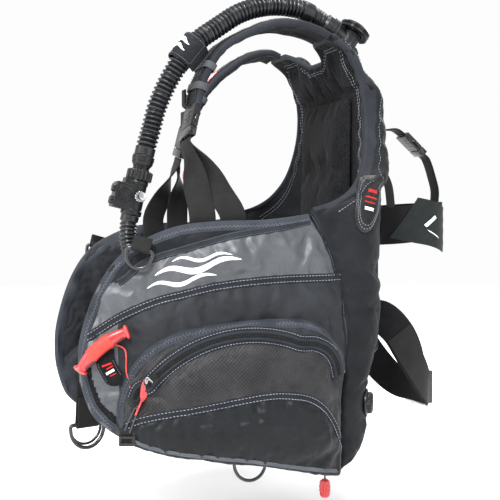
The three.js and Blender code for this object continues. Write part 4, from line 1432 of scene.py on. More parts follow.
straps = {}
for side_name, points in (("left", LEFT_STRAP), ("right", RIGHT_STRAP)):
    st = Strap(points)


    def face_at(sign):
        def at(a, b):
            u = a * st.length
            puffed = 3.4 + 1.6 * (1 - abs(2 * b - 1) ** 4) * swell(a)
            return st.at(u, (2 * b - 1) * (pad_width(a) / 2 - 1), sign * puffed)
        return at

    n_u, n_v = int(st.length / 4.5), 12
    pad = closed_sheet("shoulder_pad_%s_padded" % side_name, n_u, n_v, face_at(1), face_at(-1),
        ["shell", "spacer"], pick=lambda a, b, k: k, coords=lambda a, b: (a * st.length * MM,
        (2 * b - 1) * pad_width(a) / 2 * MM, 0))
    layer = (n_u + 1) * (n_v + 1)
    pins = [k * layer + i * (n_v + 1) + j for k in (0, 1) for i in range(n_u + 1) for j in range(n_v + 1)
            if i in (0, n_u) or j in (0, n_v) or (k == 0 and 3 < j < 9)]
    puff(pad, pins, 3.5, 3, shrink=-0.04)
    soften(pad)
    roughen(pad, 0.35, 0.5, 2.2)
    finish_piece(pad, "vest", "nylon", "shoulder_pad_" + side_name)
    tree = tree_of(pad)
    straps[side_name] = (st, tree, pad)
    L = st.length
    for v_side, tag in ((1, "outer"), (-1, "inner")):
        path = [(u, v_side * (pad_width(u / L) / 2 - 1)) for u in [L * k / 30 for k in range(31)]]
        path = path if v_side < 0 else list(reversed(path))
        ob = rim("pad_binding_%s_%s" % (tag, side_name), st.at, tree, path, "tape_blue", width=5.0, out=1.6,
            half=4.4, count=90)
        finish_piece(ob, "vest", "webbing")
    ob = strip("pad_webbing_" + side_name, st.at, tree, [(L * k / 20 * 0.985 + 4, 0) for k in range(21)], 38,
        "webbing", lift=1.7, count=80)
    finish_piece(ob, "vest", "webbing")
    sewn = Threads()
    for v in (-16.5, 16.5):
        sewn.sew(st.at, tree, [(6, v), (L * 0.5, v), (L - 4, v)], lift=2.1, pitch=3.8, length=2.6, r=0.36)
    for u in (0.12, 0.36, 0.62, 0.86):
        for d in (-7, 7):
            sewn.sew(st.at, tree, [(L * u + d, -15), (L * u + d, 15)], lift=2.1, pitch=3.2, length=2.2,
                r=0.36)
        sewn.sew(st.at, tree, [(L * u - 7, -15), (L * u + 7, 15)], lift=2.2, pitch=3.2, length=2.2, r=0.36)
        sewn.sew(st.at, tree, [(L * u - 7, 15), (L * u + 7, -15)], lift=2.2, pitch=3.2, length=2.2, r=0.36)
    finish_piece(sewn.made("pad_stitching_" + side_name, "thread_grey"), "vest", "webbing")

    def wrap_band(name, u, wide, mat, grow=1.5):
        """An elastic keeper right round the pad."""
        ring_pts = []
        w = pad_width(u / L) / 2 + 1.5
        for k in range(32):
            t = 2 * math.pi * k / 32
            c, sine = math.cos(t), math.sin(t)
            ring_pts.append(st.at(u, w * math.copysign(abs(c) ** 0.35, c),
                (6.0 + grow) * math.copysign(abs(sine) ** 0.6, sine)))
        t = (st.at(u + 1, 0, 0) - st.at(u - 1, 0, 0)).normalized()
        ob = sweep(name, ring_pts, lambda q: flat_ring(wide * MM, 1.5 * MM), mat, closed=True,
            frames=lambda q, tan: t)
        finish_piece(ob, "vest", "webbing")

    wrap_band("pad_keeper_a_" + side_name, L * 0.90, 11, "elastic", 2.2)
    wrap_band("pad_keeper_b_" + side_name, L * 0.78, 10, "elastic", 2.2)

# ---- Buckles: a slotted socket on the strap and a two-pronged plug on the webbing ----
LEFT_UP = Vector((-14, 22, 86)).normalized()
LEFT_MOUTH = Vector((98, -276, 200)) - LEFT_UP * 34.5
RIGHT_UP, RIGHT_MOUTH = Vector((0.1774, 0.20274, 0.96303)), Vector((-104.12, -235.99, 156.78))
STERNUM_UP, STERNUM_MOUTH = Vector((0.94702, -0.31567, 0.05919)), Vector((4.4, -252.8, 206.9))
UPPER_UP, UPPER_MOUTH = Vector((0, -0.75071, 0.66063)), Vector((0, 121.92, 159.07))


def dress(name, mat, bevel=0.8, segments=2):
    """Gives a CAD node its Blender material, rounded edges and smooth shading."""
    ob = NODES[name]
    ob.data.materials.clear()
    ob.data.materials.append(MAT[mat])
    ob.data.polygons.foreach_set("material_index", [0] * len(ob.data.polygons))
    ob.data.polygons.foreach_set("use_smooth", [True] * len(ob.data.polygons))
    w = ob.modifiers.new("Weld", "WELD")
    w.merge_threshold = 0.00002
    b = ob.modifiers.new("Bevel", "BEVEL")
    b.width = bevel * MM
    b.segments = segments
    b.limit_method = "ANGLE"
    b.angle_limit = math.radians(32)
    return ob


for name in ("shoulder_socket_left", "shoulder_socket_right", "sternum_socket", "upper_socket"):
    dress(name, "plastic", 1.0, 3)
for name in ("shoulder_prong_left", "shoulder_prong_right", "sternum_prong", "upper_prong"):
    dress(name, "gloss", 0.8, 2)
for name in ("lobe_ring_left", "lobe_ring_right", "hip_ring"):
    dress(name, "black_steel", 0.4, 2)
dress("waist_ring", "steel", 0.4, 2)
dress("cam_frame", "steel", 0.7, 2)
dress("cam_lever", "black_steel", 0.9, 3)
dress("cam_pin", "steel", 0.3, 2)
dress("backplate", "plastic", 1.2, 2)
dress("inflate_button", "gloss", 0.6, 2)
dress("deflate_button", "gloss", 0.6, 2)
dress("quick_nipple", "steel", 0.4, 2)
dress("hose_elbow", "rubber", 0.8, 2)
dress("valve_flange", "plastic", 0.8, 2)
dress("elbow_cap", "gloss", 1.0, 3)
dress("hose_cuff", "rubber", 0.8, 2)
dress("dump_valve_right", "plastic", 1.0, 2)
dress("dump_valve_lower", "plastic", 1.0, 2)


def leg(name, points, width, thick, across, start, end, mat="webbing", count=60):
    line = smooth_line([Vector(p) * MM for p in points], count)
    ob = sweep(name, line, lambda t: flat_ring(width * MM, thick * MM), mat, frames=lambda t, tan: across(t))
    tuple(Vector(start) * MM)
    tuple(Vector(end) * MM)
    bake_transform(ob)
    return ob


for side, side_name, up, mouth in ((1, "left", LEFT_UP, LEFT_MOUTH), (-1, "right", RIGHT_UP, RIGHT_MOUTH)):
    top = mouth - up * 14.2
    body_name = side_name + "_prong"
    for s_foot, tag in ((388, "front"), (346, "rear")):
        foot = [wrap(side, s_foot, z, off) / MM for z, off in ((50, -13.5), (22, -14.5), (-6, -16))]
        h = plan(s_foot)[2]
        flat_on_lobe = Vector((side * math.cos(h), math.sin(h), 0))
        across_top = Vector((1, 0, 0)) - up * up.x
        if flat_on_lobe.dot(across_top) < 0:
            flat_on_lobe = -flat_on_lobe

        def across(t, a=across_top.normalized(), b=flat_on_lobe.normalized()):
            return a.lerp(b, step(t, 0.02, 0.6))

        ob = leg("chest_webbing_%s_%s" % (tag, side_name),
            [top, top - up * 7, top * 0.7 + foot[0] * 0.3, top * 0.35 + foot[0] * 0.65, *foot], 36, 2.6,
            across, foot[0], top)
    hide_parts("chest_webbing_" + side_name)

# ---- The sternum strap ----
left_end = STERNUM_MOUTH + STERNUM_UP * 33
webbing("sternum_strap_left_woven", [(91, -285.5, 212), (74, -284.5, 212), left_end], 22, 2.4,
    lambda t: (0, 0, 1), "vest", count=40)
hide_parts("sternum_strap_left")
right_end = STERNUM_MOUTH - STERNUM_UP * 14
ob = leg("sternum_strap_right_woven", [right_end, (-70, -238, 202), (-92, -238, 202)], 22, 2.4,
    lambda t: Vector((0, 0, 1)), (-70, -238, 202), right_end)
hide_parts("sternum_strap_right")


# ---- The tank bands ----
def band_path(z0, d, half, droop, tail):
    pts = [(30, d), (-18, d + 0.2), (-48, d - 10), (-half + 2, d - 42), (-half, 0.4 * d), (-73, 24),
        (-71, 10), (-67.5, -3), (-58, -8.8), (0, -9.2), (58, -8.8), (67.5, -3), (71, 10), (73, 24),
        (half, 0.4 * d), (half - 2, d - 42), (52, d - 8), (26, d + 3.5), (tail, d + 3.5)]
    return [(x, y, z0 - droop * step(y, 22, d)) for x, y in pts]


Z_AXIS = Vector((0, 0, 1))


def band(name, route, width, mat, node=None):
    line = smooth_line([Vector(p) * MM for p in route], 220)
    ob = sweep(name, line, lambda t: flat_ring(width * MM, 2.6 * MM), mat, frames=lambda t, tan: Z_AXIS)
    finish_piece(ob, "vest", "hook", *([node] if node else []))
    return line


lower_line = band("tank_band_lower_woven", band_path(-100, 122, 76, 118, -50), 50, "hook", "tank_band_lower")
upper_line = band("tank_band_upper_woven", band_path(36, 146, 78, -10, -52), 56, "hook", "tank_band_upper")


# ---- The upper tank strap ----
webbing("upper_strap_woven", [(0, -9.4, 138), (0, -9.4, 158), (0, -2, 170), (0, 22, 178), (0, 62, 186),
    (0, 84, 188), (0, 97, 181)], 25, 2.4, lambda t: (1, 0, 0), "vest")
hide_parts("upper_strap")
a, b = UPPER_MOUTH - UPPER_UP * 14.2, UPPER_MOUTH - UPPER_UP * 24
ob = leg("upper_strap_tail_woven", [a, b, (0, 152, 112), (0, 157, 92), (0, 155, 62), (0, 154.4, 20)], 25,
    2.4, lambda t: X_AXIS, (0, 157, 92), a)
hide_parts("upper_strap_tail")

# ---- The waist strap on the far lobe ----
waist = [wrap(-1, s, z, off) / MM for s, z, off in ((494, -96, -15), (501, -150, -15.5), (508, -205, -17),
    (512, -254, -18.6), (512, -262, -18), (512, -266.6, -22), (512, -262, -26), (512, -254, -25.4),
    (510, -222, -24))]
h = plan(505)[2]
webbing("waist_strap_woven", waist, 38, 2.4, lambda t: (-math.cos(h), math.sin(h), 0), "vest", count=90)
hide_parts("waist_strap")


# ---- Webbing stubs that hold the rings ----
# Where a ring hangs: s and z on the cloth, height off its middle, and degrees turned.
LOBE_RING_SPOT, HIP_RING_SPOT = (470, 4, 18.5, -14), (320, -283, -19.5, 0)


def patch_matrix(s, z, off, degrees, side=1):
    n = outward(1, s)
    hd = plan(s)[2]
    rear = Vector((-math.cos(hd), -math.sin(hd), 0))
    t = math.radians(degrees)
    x = rear * math.cos(t) + Vector((0, 0, 1)) * math.sin(t)
    y = n.cross(x)
    m = Matrix((x, y, n)).transposed().to_4x4()
    m.translation = wrap(1, s, z, off)
    return Matrix.Diagonal((side, 1, 1, 1)) @ m


def stub_of_webbing(name, m, width, reach, node, mat="webbing", lift=0.0, fold=3.2):
    """A short doubled webbing loop: local y runs away from the ring."""
    pts = []
    for y, z in ((reach, lift - 2.0), (6, lift - 1.6), (0, -fold), (-2.9, 0), (0, fold), (6, lift + 1.8),
            (reach, lift + 1.4)):
        pts.append((m @ (Vector((0, y, z)) * MM)) / MM)
    axis = (m.to_3x3() @ Vector((1, 0, 0)))
    ob = webbing(name, pts, width, 2.2, lambda t: axis, "vest", mat=mat, count=50)
    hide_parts(node)
    return ob


for side, side_name in ((1, "left"), (-1, "right")):
    stub_of_webbing("lobe_ring_stub_" + side_name, patch_matrix(*LOBE_RING_SPOT, side), 25, 17,
        "lobe_ring_keeper_" + side_name, lift=1.2)
stub_of_webbing("hip_ring_stub", patch_matrix(*HIP_RING_SPOT), 30, 26, "hip_ring_keeper")

# ---- The collar's binding and stitching ----
armhole = [(235, 59), (205, 68), (178, 84), (151, 118), (131, 172), (122, 214), (120, 238), (117, 285),
    (116, 312)]
neck = [(110, 320), (80, 321), (50, 321), (20, 321)]
half_path = armhole + neck
collar_path = half_path + [(0, 321)] + [(-s, h) for s, h in reversed(half_path)]
ob = rim("collar_binding", on_shell, FACE, collar_path, "tape_blue", width=5.0, out=1.4, half=3.6, count=260)
finish_piece(ob, "vest", "webbing")
collar_thread = Threads()
for sign in (1, -1):
    inset = [(sign * s, h) for s, h in ((196, 52), (166, 74), (138, 112), (117, 170), (108, 214), (105, 240),
        (103, 296))]
    for o in (0, 5):
        collar_thread.sew(on_shell, FACE, inset, sign * o, inner=True, lift=1.0)
    for o in (0, 5):
        collar_thread.sew(on_shell, FACE, [(sign * 96, 303), (sign * 60, 303), (0, 306)], sign * o,
            inner=True, lift=1.0)
    outer = [(sign * s, h) for s, h in ((205, 55), (176, 76), (148, 112), (128, 170), (118, 214), (115, 240),
        (112, 300))]
    collar_thread.sew(on_shell, FACE, [(s - sign * 4, h) for s, h in outer], 0, lift=0.8)
finish_piece(collar_thread.made("collar_stitching", "thread"), "vest", "webbing")

# ---- The back pad, quilted in four cushions ----
PAD_HALF, PAD_LOW, PAD_HIGH = 86, -194, 224


def back_inner(z):
    return -4 - 9 * swell(clamp((z + 232) / 470))


def pad_front(a, b):
    s, z = lerp(-PAD_HALF, PAD_HALF, a), lerp(PAD_LOW, PAD_HIGH, b)
    cushions = 0.55 + 0.45 * abs(math.sin(math.pi * b * 4)) ** 0.4
    off = back_inner(z) - 5 - 9 * swell(a) * swell(b) * cushions
    return wrap(1 if s >= 0 else -1, abs(s), z, off)


def pad_rear(a, b):
    s, z = lerp(-PAD_HALF, PAD_HALF, a), lerp(PAD_LOW, PAD_HIGH, b)
    return wrap(1 if s >= 0 else -1, abs(s), z, back_inner(z) - 1.6)


BU, BV = 30, 76
back_pad = closed_sheet("back_pad_cushion", BU, BV, pad_front, pad_rear, "spacer",
    coords=lambda a, b: (lerp(-PAD_HALF, PAD_HALF, a) * MM, lerp(PAD_LOW, PAD_HIGH, b) * MM, 0))
layer = (BU + 1) * (BV + 1)
pins = [k * layer + i * (BV + 1) + j for k in (0, 1) for i in range(BU + 1) for j in range(BV + 1)
        if k == 1 or i in (0, BU) or j in (0, BV) or j % 19 == 0]
puff(back_pad, pins, 4, 6, shrink=-0.04)
soften(back_pad)
roughen(back_pad, 0.3, 0.8, 6.6)
finish_piece(back_pad, "vest", "spacer", "back_pad")

# ---- Grab handle ----
grab = [(46, -10, 196), (44, 10, 202), (22, 26, 206), (-22, 26, 206), (-44, 10, 202), (-46, -10, 196)]
webbing("grab_handle_woven", grab, 25, 2.6, lambda t: (0, 0.2, 1), "vest")
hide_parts("grab_handle")
sleeve_line = smooth_line([Vector(p) * MM for p in grab], 60)[17:44]
sleeve = sweep("grab_sleeve", sleeve_line,
    lambda t: [(x * 15 * MM, y * 4.6 * (1 + 0.05 * math.cos(t * 60)) * MM) for x, y in round_ring(1, 20)],
    "rubber", frames=lambda t, tan: Vector((0, 0.2, 1)))
finish_piece(sleeve, "vest", "rubber")

# ---- Hose keeper ----
KEEP_AT, HOSE_ALONG, TO_PAD = Vector((108, -287, 270.5)), Vector((0.03, -0.63,
    -0.78)).normalized(), Vector((-0.23, 0.755, -0.617)).normalized()
KEEP_SIDE = HOSE_ALONG.cross(TO_PAD).normalized()


def keep(e, f, w=0.0):
    return KEEP_AT + TO_PAD * e + KEEP_SIDE * f + HOSE_ALONG * w


keeper_path = [keep(*p) for p in ((19, 9.5), (11, 14.5), (0, 17.2), (-12.2, 12.2), (-17.2, 0),
    (-12.2, -12.2), (0, -17.2), (11, -14.5), (19, -9.5))]
webbing("hose_keeper_band", keeper_path, lambda t: 41 - 5 * abs(2 * t - 1) ** 3, 2.8, lambda t: HOSE_ALONG,
    "vest", mat="shell", count=110)
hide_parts("hose_keeper")


def keep_round(angle, w, lift=1.7):
    r = 17.3 + lift
    return (keep(-math.cos(angle) * r, math.sin(angle) * r,
        w)) * MM, (-TO_PAD * math.cos(angle) + KEEP_SIDE * math.sin(angle))


keeper_thread = Threads()
for w in (-17.5, 17.5):
    keeper_thread.sew_line([keep_round(-1.9 + 3.8 * i / 24, w)[0] for i in range(25)],
        lambda t: keep_round(-1.9 + 3.8 * t, 0)[1], pitch=3.4, length=2.3, r=0.38)
for a0 in (-1.9, 1.9):
    keeper_thread.sew_line([keep_round(a0, -17 + 34 * i / 12)[0] for i in range(13)], keep_round(a0, 0)[1],
        pitch=3.4, length=2.3, r=0.38)
finish_piece(keeper_thread.made("keeper_stitching", "thread_grey"), "vest", "webbing")
for i, (w0, mark_width) in enumerate(((-5.5, 6.4), (5.0, 5.0))):
    pts = [keep_round(-0.95 + 1.9 * k / 40, w0 + 2.6 * math.sin(k / 40 * 2.6 * math.pi), 1.9)[0]
        for k in range(41)]
    ob = sweep("keeper_mark_%d" % i, pts,
        lambda t: flat_ring((0.6 + mark_width * math.sin(math.pi * clamp(t, 0.03, 0.97))) * MM, 0.7 * MM),
        "white", frames=lambda t, tan: HOSE_ALONG)
    finish_piece(ob, "vest", "webbing")

# ---- Inflator ----
INFLATOR_AT, INFLATOR_UP = (100, -346.185, 129.222), Vector((0, 0.23072, 0.97302))
IM = basis(INFLATOR_AT, INFLATOR_UP, X_AXIS)
core = lathe("inflator_collar", [(0, 0), (14.2, 0), (15.0, -1.4), (15.0, -6), (14.4, -7), (14.4, -10),
    (12.6, -13.5), (11.6, -14.5), (11.6, -16), (10.9, -16.4), (10.9, -18.4), (11.8, -18.8), (11.8, -20.6),
    (0, -20.6)], "plastic", "vest", IM)
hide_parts("inflator_body")
lathe("inflator_ring", [(0, -20.6), (16.2, -20.7), (17.6, -22), (17.6, -32.6), (16.2, -34), (0, -34.2)],
    "gloss", "vest", IM, sides=120, ribs=(20, 1.5, -33, -21.5))
lathe("inflator_barrel", [(0, -34.2), (13.6, -34.3), (14.2, -35.5), (14.2, -39), (13.2, -40.5), (13.2, -74),
    (14.2, -75.5), (14.2, -80.5), (13, -82), (0, -82)], "plastic", "vest", IM)
block("inflator_block", [(25, 24, 34, 0, -17, -59), (27, 17, 26, 0, -16, -59), (20, 14, 10, 0, -12, -39)],
    "plastic", "vest", IM, bevel=1.6)
for sx in (1, -1):
    side_m = IM @ Matrix.Translation(Vector((sx * 13.1, -17, -59)) * MM) @ Matrix.Rotation(sx * math.pi / 2,
        4, "Y")
    lathe("inflator_recess_" + ("left" if sx > 0 else "right"),
        [(0, 0.2), (5.0, 0.2), (5.4, 0.9), (6.2, 0.9), (6.6, -0.2), (8.4, -0.2), (8.9, 1.3), (10.2, 1.3),
        (10.6, 0.3), (10.6, -1.4), (0, -1.4)], "gloss", "vest", side_m)
lathe("nipple_collar", [(0, 13), (7.2, 13.2), (7.6, 14), (7.6, 17.5), (6.6, 18.4), (0, 18.4)], "steel",
    "vest", IM @ Matrix.Translation(Vector((0, 4, -56)) * MM) @ Matrix.Rotation(math.pi / 2, 4, "Y"),
    sides=72, ribs=(12, 0.7, 13.5, 18))
ORAL = [Vector(INFLATOR_AT) - INFLATOR_UP * 83, Vector(INFLATOR_AT) - INFLATOR_UP * 92, (98, -368, 20),
    (93, -362, -4), (86, -352, -28)]
oral_line = smooth_line([Vector(p) * MM for p in ORAL], 130)
oral_length = line_length(oral_line) / MM


def oral_radius(mm):
    if mm < 7:
        return 12.2
    if mm > oral_length - 12:
        return 11.6 + 1.4 * step(mm, oral_length - 6, oral_length)
    return 9.8 + 2.0 * (0.5 + 0.5 * math.sin(2 * math.pi * mm / 5.2)) ** 0.7


oral = sweep("oral_hose_ribbed", oral_line, lambda t: round_ring(oral_radius(t * oral_length) * MM, 24),
    "rubber")
finish_piece(oral, "vest", "rubber", "oral_tube")
tuple(hose_line[0])
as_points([tuple(p) for p in hose_line[::4]] + [tuple(hose_line[-1])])

# ---- Valve, elbow and dump valves ----
VALVE_OUT, VALVE_AT = Vector((0, 0.55008, 0.83511)), Vector((76, -43.5, 290.5))
VM = basis(VALVE_AT, VALVE_OUT, X_AXIS)
lathe("valve_retaining_ring", [(0, 4.1), (22.5, 4.1), (23.4, 5.0), (23.4, 10.0), (22.0, 11.2), (19.6, 11.2),
    (0, 11.2)], "gloss", "vest", VM, sides=144, ribs=(18, 1.7, 4.5, 10.6))
cap = lathe("elbow_cap_disc", [(0, 31.8), (22.4, 31.8), (24.0, 33.0), (24.0, 35.2), (22.6, 36.0),
    (22.6, 37.6), (24.0, 38.4), (24.0, 41.2), (22.4, 42.8), (17, 43.2), (16, 42.4), (9, 42.4), (8, 43.0),
    (0, 43.2)], "gloss", "vest", VM, sides=96)
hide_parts("elbow_cap")
stub_m = basis(Vector((76, -33.82, 305.2)), STUB, X_AXIS)
cuff = lathe("hose_cuff_ribbed", [(0, 25.8), (16.6, 25.8), (17.4, 26.8), (17.4, 29.5), (16.2, 30.2),
    (16.2, 31.6), (17.2, 32.4), (17.2, 35.0), (15.8, 35.8), (15.4, 38.0), (15.2, 45.0), (14.2, 46.2),
    (0, 46.2)], "rubber", "vest", stub_m, sides=64)
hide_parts("hose_cuff")
RM = basis(Vector((-76, -43.5, 290.5)), VALVE_OUT, X_AXIS)
for name, m, node in (("dump_cover_right", RM, "dump_valve_right"),
        ("dump_cover_lower", patch_matrix(DUMP_S, DUMP_Z, 21.5, 0), "dump_valve_lower")):
    ob = lathe(name, [(0, 0.2), (19.6, 0.2), (20.2, 1.0), (20.2, 2.6), (19.0, 3.4), (15.8, 3.8), (15.4, 4.6),
        (15.4, 8.4), (14.2, 9.8), (13, 10.9), (11.4, 10.9), (10.6, 10.1), (5, 10.1), (4, 11.4), (0, 11.8)],
        "plastic", "vest", m, sides=96, ribs=(24, 0.9, 4.5, 9.0))
    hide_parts(node)


def pull_cord(name, at, cord, length, r, body, node):
    m = Matrix.Translation(Vector(at) * MM)
    prof = [(0, 0.4), (r * 0.42, 0.2), (r * 0.62, -1.4)]
    for i in range(9):
        t = i / 8
        prof.append((r * (0.72 + 0.28 * math.sin(math.pi * (0.15 + 0.75 * t))) * (0.94 + (0.06 if i % 2
            else 0)), -2.2 - (length - 4.4) * t))
    prof += [(r * 0.6, -length + 0.8), (r * 0.3, -length), (0, -length)]
    ob = lathe(name, prof, "red", body, m, sides=72, ribs=(12, r * 0.12, -length + 2.5, -3.0))
    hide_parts(node)
    cord_points = [Vector(at) + Vector((0, 0, cord)), Vector(at) + Vector((0, 0, cord * 0.5)),
        Vector(at) + Vector((0, 0, -1))]
    line = tube(name + "_cord", cord_points, 1.3, body, "red_dark", 30, 10,
        ring=lambda t: [(x * (1.3 + 0.12 * math.sin(t * 130)) * MM, y * 1.3 * MM) for x,
        y in round_ring(1, 10)])
    free_cord(cord_points)


KNOB_TOP = Vector((-74.5, -231, 123))
pull_cord("shoulder_dump_knob", KNOB_TOP, 62, 21, 10.6, "shoulder_dump_pull", "dump_knob")
pull_cord("lower_dump_toggle", (141, -98, -318), 36, 26, 8.2, "lower_dump_pull", "dump_toggle")

webbing("knob_tab", [KNOB_TOP + Vector((0, -2, 62)), KNOB_TOP + Vector((0, -6, 46)),
    KNOB_TOP + Vector((0, -5, 30)), KNOB_TOP + Vector((0, -3, 18))], 16, 1.6,
    lambda t: Vector((0.35, 0.94, 0)), "vest", count=30)

# ---- Ripcord handle, tab and cable ----
RC = patch_matrix(520, -125, 17, 39.5)


def in_handle(x, y, z):
    return RC @ (Vector((x, y, z)) * MM)


def bow(x):
    return -0.0042 * x * x + 2.0


handle_line = smooth_line([in_handle(x, bow(x), 5 - 0.0012 * x * x) for x in (-42, -36, -28, -18, -8, 0, 8,
    18, 28, 36, 42)], 90)


def handle_ring(t):
    x = abs(2 * t - 1)
    wide = lerp(8.8, 6.8, step(x, 0.3, 0.85)) + 3.0 * step(x, 0.86, 0.92) - 5.0 * max(0.0,
        (x - 0.95) / 0.05) ** 2
    deep = lerp(6.8, 5.6, step(x, 0.3, 0.85)) + 2.6 * step(x, 0.86, 0.92) - 4.0 * max(0.0,
        (x - 0.95) / 0.05) ** 2
    out = []
    for c, s in round_ring(1, 26):
        out.append((math.copysign(abs(c) ** 0.75, c) * wide * MM,
            math.copysign(abs(s) ** 0.85, s) * deep * MM))
    return out


handle = sweep("ripcord_handle_moulded", handle_line, handle_ring, "red",
    frames=lambda t, tan: (in_handle(0, 1, 0) - in_handle(0, 0, 0)))
finish_piece(handle, "ripcord", "red", "ripcord_handle")
grip_part = handle_line[27:64]
grip = sweep("ripcord_grip_sleeve", grip_part,
    lambda t: [(math.copysign(abs(c) ** 0.75, c) * (9.7 + 0.2 * math.sin(t * 95)) * MM,
    math.copysign(abs(s) ** 0.85, s) * (7.7 + 0.2 * math.sin(t * 95)) * MM) for c, s in round_ring(1, 26)],
    "red_grip", frames=lambda t, tan: (in_handle(0, 1, 0) - in_handle(0, 0, 0)))
finish_piece(grip, "ripcord", "red")
for sx in (-1, 1):
    for k in range(5):
        x_rib = sx * (19.5 + k * 3.0)
        m = RC @ Matrix.Translation(Vector((x_rib, bow(x_rib) - 5.4, 5.2)) * MM)
        block("ripcord_rib_%s%d" % ("a" if sx > 0 else "b", k), [(1.4, 4.6, 10.2, 0, 0, 0)], "red_dark",
            "ripcord", m, bevel=0.4)
tab_pts = [in_handle(0, -5, -1) / MM] + [drop(on_lobe, Vector((s, z, 0)), 3.4, FACE)[0] / MM for s,
    z in ((514, -146), (507, -160), (500, -174))]
tab_axis = lambda t: (-0.31, -0.82, -0.49)
webbing("ripcord_tab_black", tab_pts,
    lambda t: 25.5 * math.sqrt(max(0.02, 1 - max(0.0, (t - 0.74) / 0.26) ** 2)), 2.8, tab_axis, "ripcord",
    mat="hook", count=60)
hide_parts("ripcord_tab")
tab_line = smooth_line([Vector(p) * MM for p in tab_pts], 60)


def on_tab(t, across, lift):
    k = clamp(t) * 60
    i = min(int(k), 59)
    p = tab_line[i].lerp(tab_line[i + 1], k - i)
    tan = (tab_line[i + 1] - tab_line[i]).normalized()
    side = (Vector(tab_axis(t)) - tan * Vector(tab_axis(t)).dot(tan)).normalized()
    n = tan.cross(side).normalized()
    if n.dot(outward(1, 510)) < 0:
        n = -n
    return p + side * across * MM + n * lift * MM, n


tab_thread = Threads()
for sgn in (-1, 1):
    tab_thread.sew_line([on_tab(0.3 + 0.5 * i / 12, sgn * 10.2, 1.6)[0] for i in range(13)],
        on_tab(0.5, 0, 0)[1], pitch=3.2, length=2.2, r=0.34)
finish_piece(tab_thread.made("ripcord_tab_stitching", "thread_grey"), "ripcord", "webbing")
for i, (t0, t1, x0, x1, mat) in enumerate(((0.34, 0.40, -7, 6, "red_print"),
        (0.45, 0.49, -7, 2, "red_print"), (0.54, 0.62, -6, 6, "white"), (0.67, 0.70, -6, 3, "red_print"))):
    pts = [on_tab((t0 + t1) / 2, lerp(x0, x1, k / 6), 1.6)[0] for k in range(7)]
    n = on_tab(0.5, 0, 0)[1]
    ob = sweep("ripcord_tab_bar_%d" % i, pts, lambda t: flat_ring((t1 - t0) * 42 * MM, 0.6 * MM), mat,
        frames=lambda t, tan: n.cross(tan))
    finish_piece(ob, "ripcord", "webbing")
cable = [in_handle(16, -6, 1) / MM, in_handle(22, -20, 0) / MM] + [drop(on_lobe, Vector((s, z, 0)), 1.6,
    FACE)[0] / MM for s, z in ((489, -158), (486, -168), (483, -176))]
ripcord_line = tube("ripcord_cable", cable, 1.1, "ripcord", "red", 60, 10)
free_cord(list(reversed(cable)))


# ---- The size patch ----
def ellipse(cu, cv, ru, rv, tilt, n=28, k=1.0):
    c, sine = math.cos(tilt), math.sin(tilt)
    return [(cu + k * (ru * math.cos(2 * math.pi * i / n) * c - rv * math.sin(2 * math.pi * i / n) * sine),
        cv + k * (ru * math.cos(2 * math.pi * i / n) * sine + rv * math.sin(2 * math.pi * i / n) * c))
        for i in range(n + 1)]


def disc_patch(name, place, tree, cu, cv, ru, rv, tilt, mat, lift):
    """A thin oval patch on the cloth."""
    n, rings = 32, (0.02, 0.35, 0.7, 0.93, 1.0)
    verts, cloth = [], []
    for r, up in zip(rings, (1, 1, 1, 0.97, 0.2)):
        for u, v in ellipse(cu, cv, ru, rv, tilt, n, r)[:-1]:
            verts.append(drop(place, Vector((u, v, 0)), lift * up, tree)[0])
            cloth.append((u * MM, v * MM, 0))
    for u, v in ellipse(cu, cv, ru, rv, tilt, n, 0.96)[:-1]:
        verts.append(drop(place, Vector((u, v, 0)), -1.5, tree)[0])
        cloth.append((u * MM, v * MM, 0))
    m = len(rings) + 1
    faces = [(r * n + i, r * n + (i + 1) % n, (r + 1) * n + (i + 1) % n, (r + 1) * n + i)
        for r in range(m - 1) for i in range(n)]
    faces += [tuple(range(n)), tuple(range((m - 1) * n, m * n))]
    return new_object(name, verts, faces, mat, cloth=cloth)


PATCH_U, PATCH_V, PATCH_TURN = 161.0, 67.0, math.radians(-76)
PATCH_LONG, PATCH_WIDE = 43, 17.5
ob = disc_patch("size_patch", on_shell, FACE, PATCH_U, PATCH_V, PATCH_LONG, PATCH_WIDE, PATCH_TURN,
    "plastic", 2.6)
finish_piece(ob, "vest", "rubber")
size_thread = Threads()
PATCH_TREE = tree_of(shell, lobe, pocket, ob)
for k in (0.86, 0.74):
    size_thread.sew(on_shell, PATCH_TREE, ellipse(PATCH_U, PATCH_V, PATCH_LONG, PATCH_WIDE, PATCH_TURN, 40,
        k), lift=0.35, pitch=3.8, length=2.7, r=0.4)
finish_piece(size_thread.made("size_patch_stitching", "thread"), "vest", "webbing")
cosine, sine = math.cos(PATCH_TURN), math.sin(PATCH_TURN)
for i, (x, w0, bar_thick, mat) in enumerate(((-17, 6.5, 4.2, "red_print"), (-8, 7.5, 2.2, "red_print"),
        (-1, 7.5, 1.6, "red_print"), (8, 6.0, 4.6, "white"))):
    lines = []
    for across_bar in (-bar_thick / 2, bar_thick / 2):
        lines.append([(PATCH_U + (x + across_bar) * cosine - lerp(-w0, w0, k / 8) * sine,
            PATCH_V + (x + across_bar) * sine + lerp(-w0, w0, k / 8) * cosine) for k in range(9)])
    finish_piece(ribbon_patch("size_patch_bar_%d" % i, lines, on_shell, PATCH_TREE, mat, 0.35), "vest",
        "webbing")


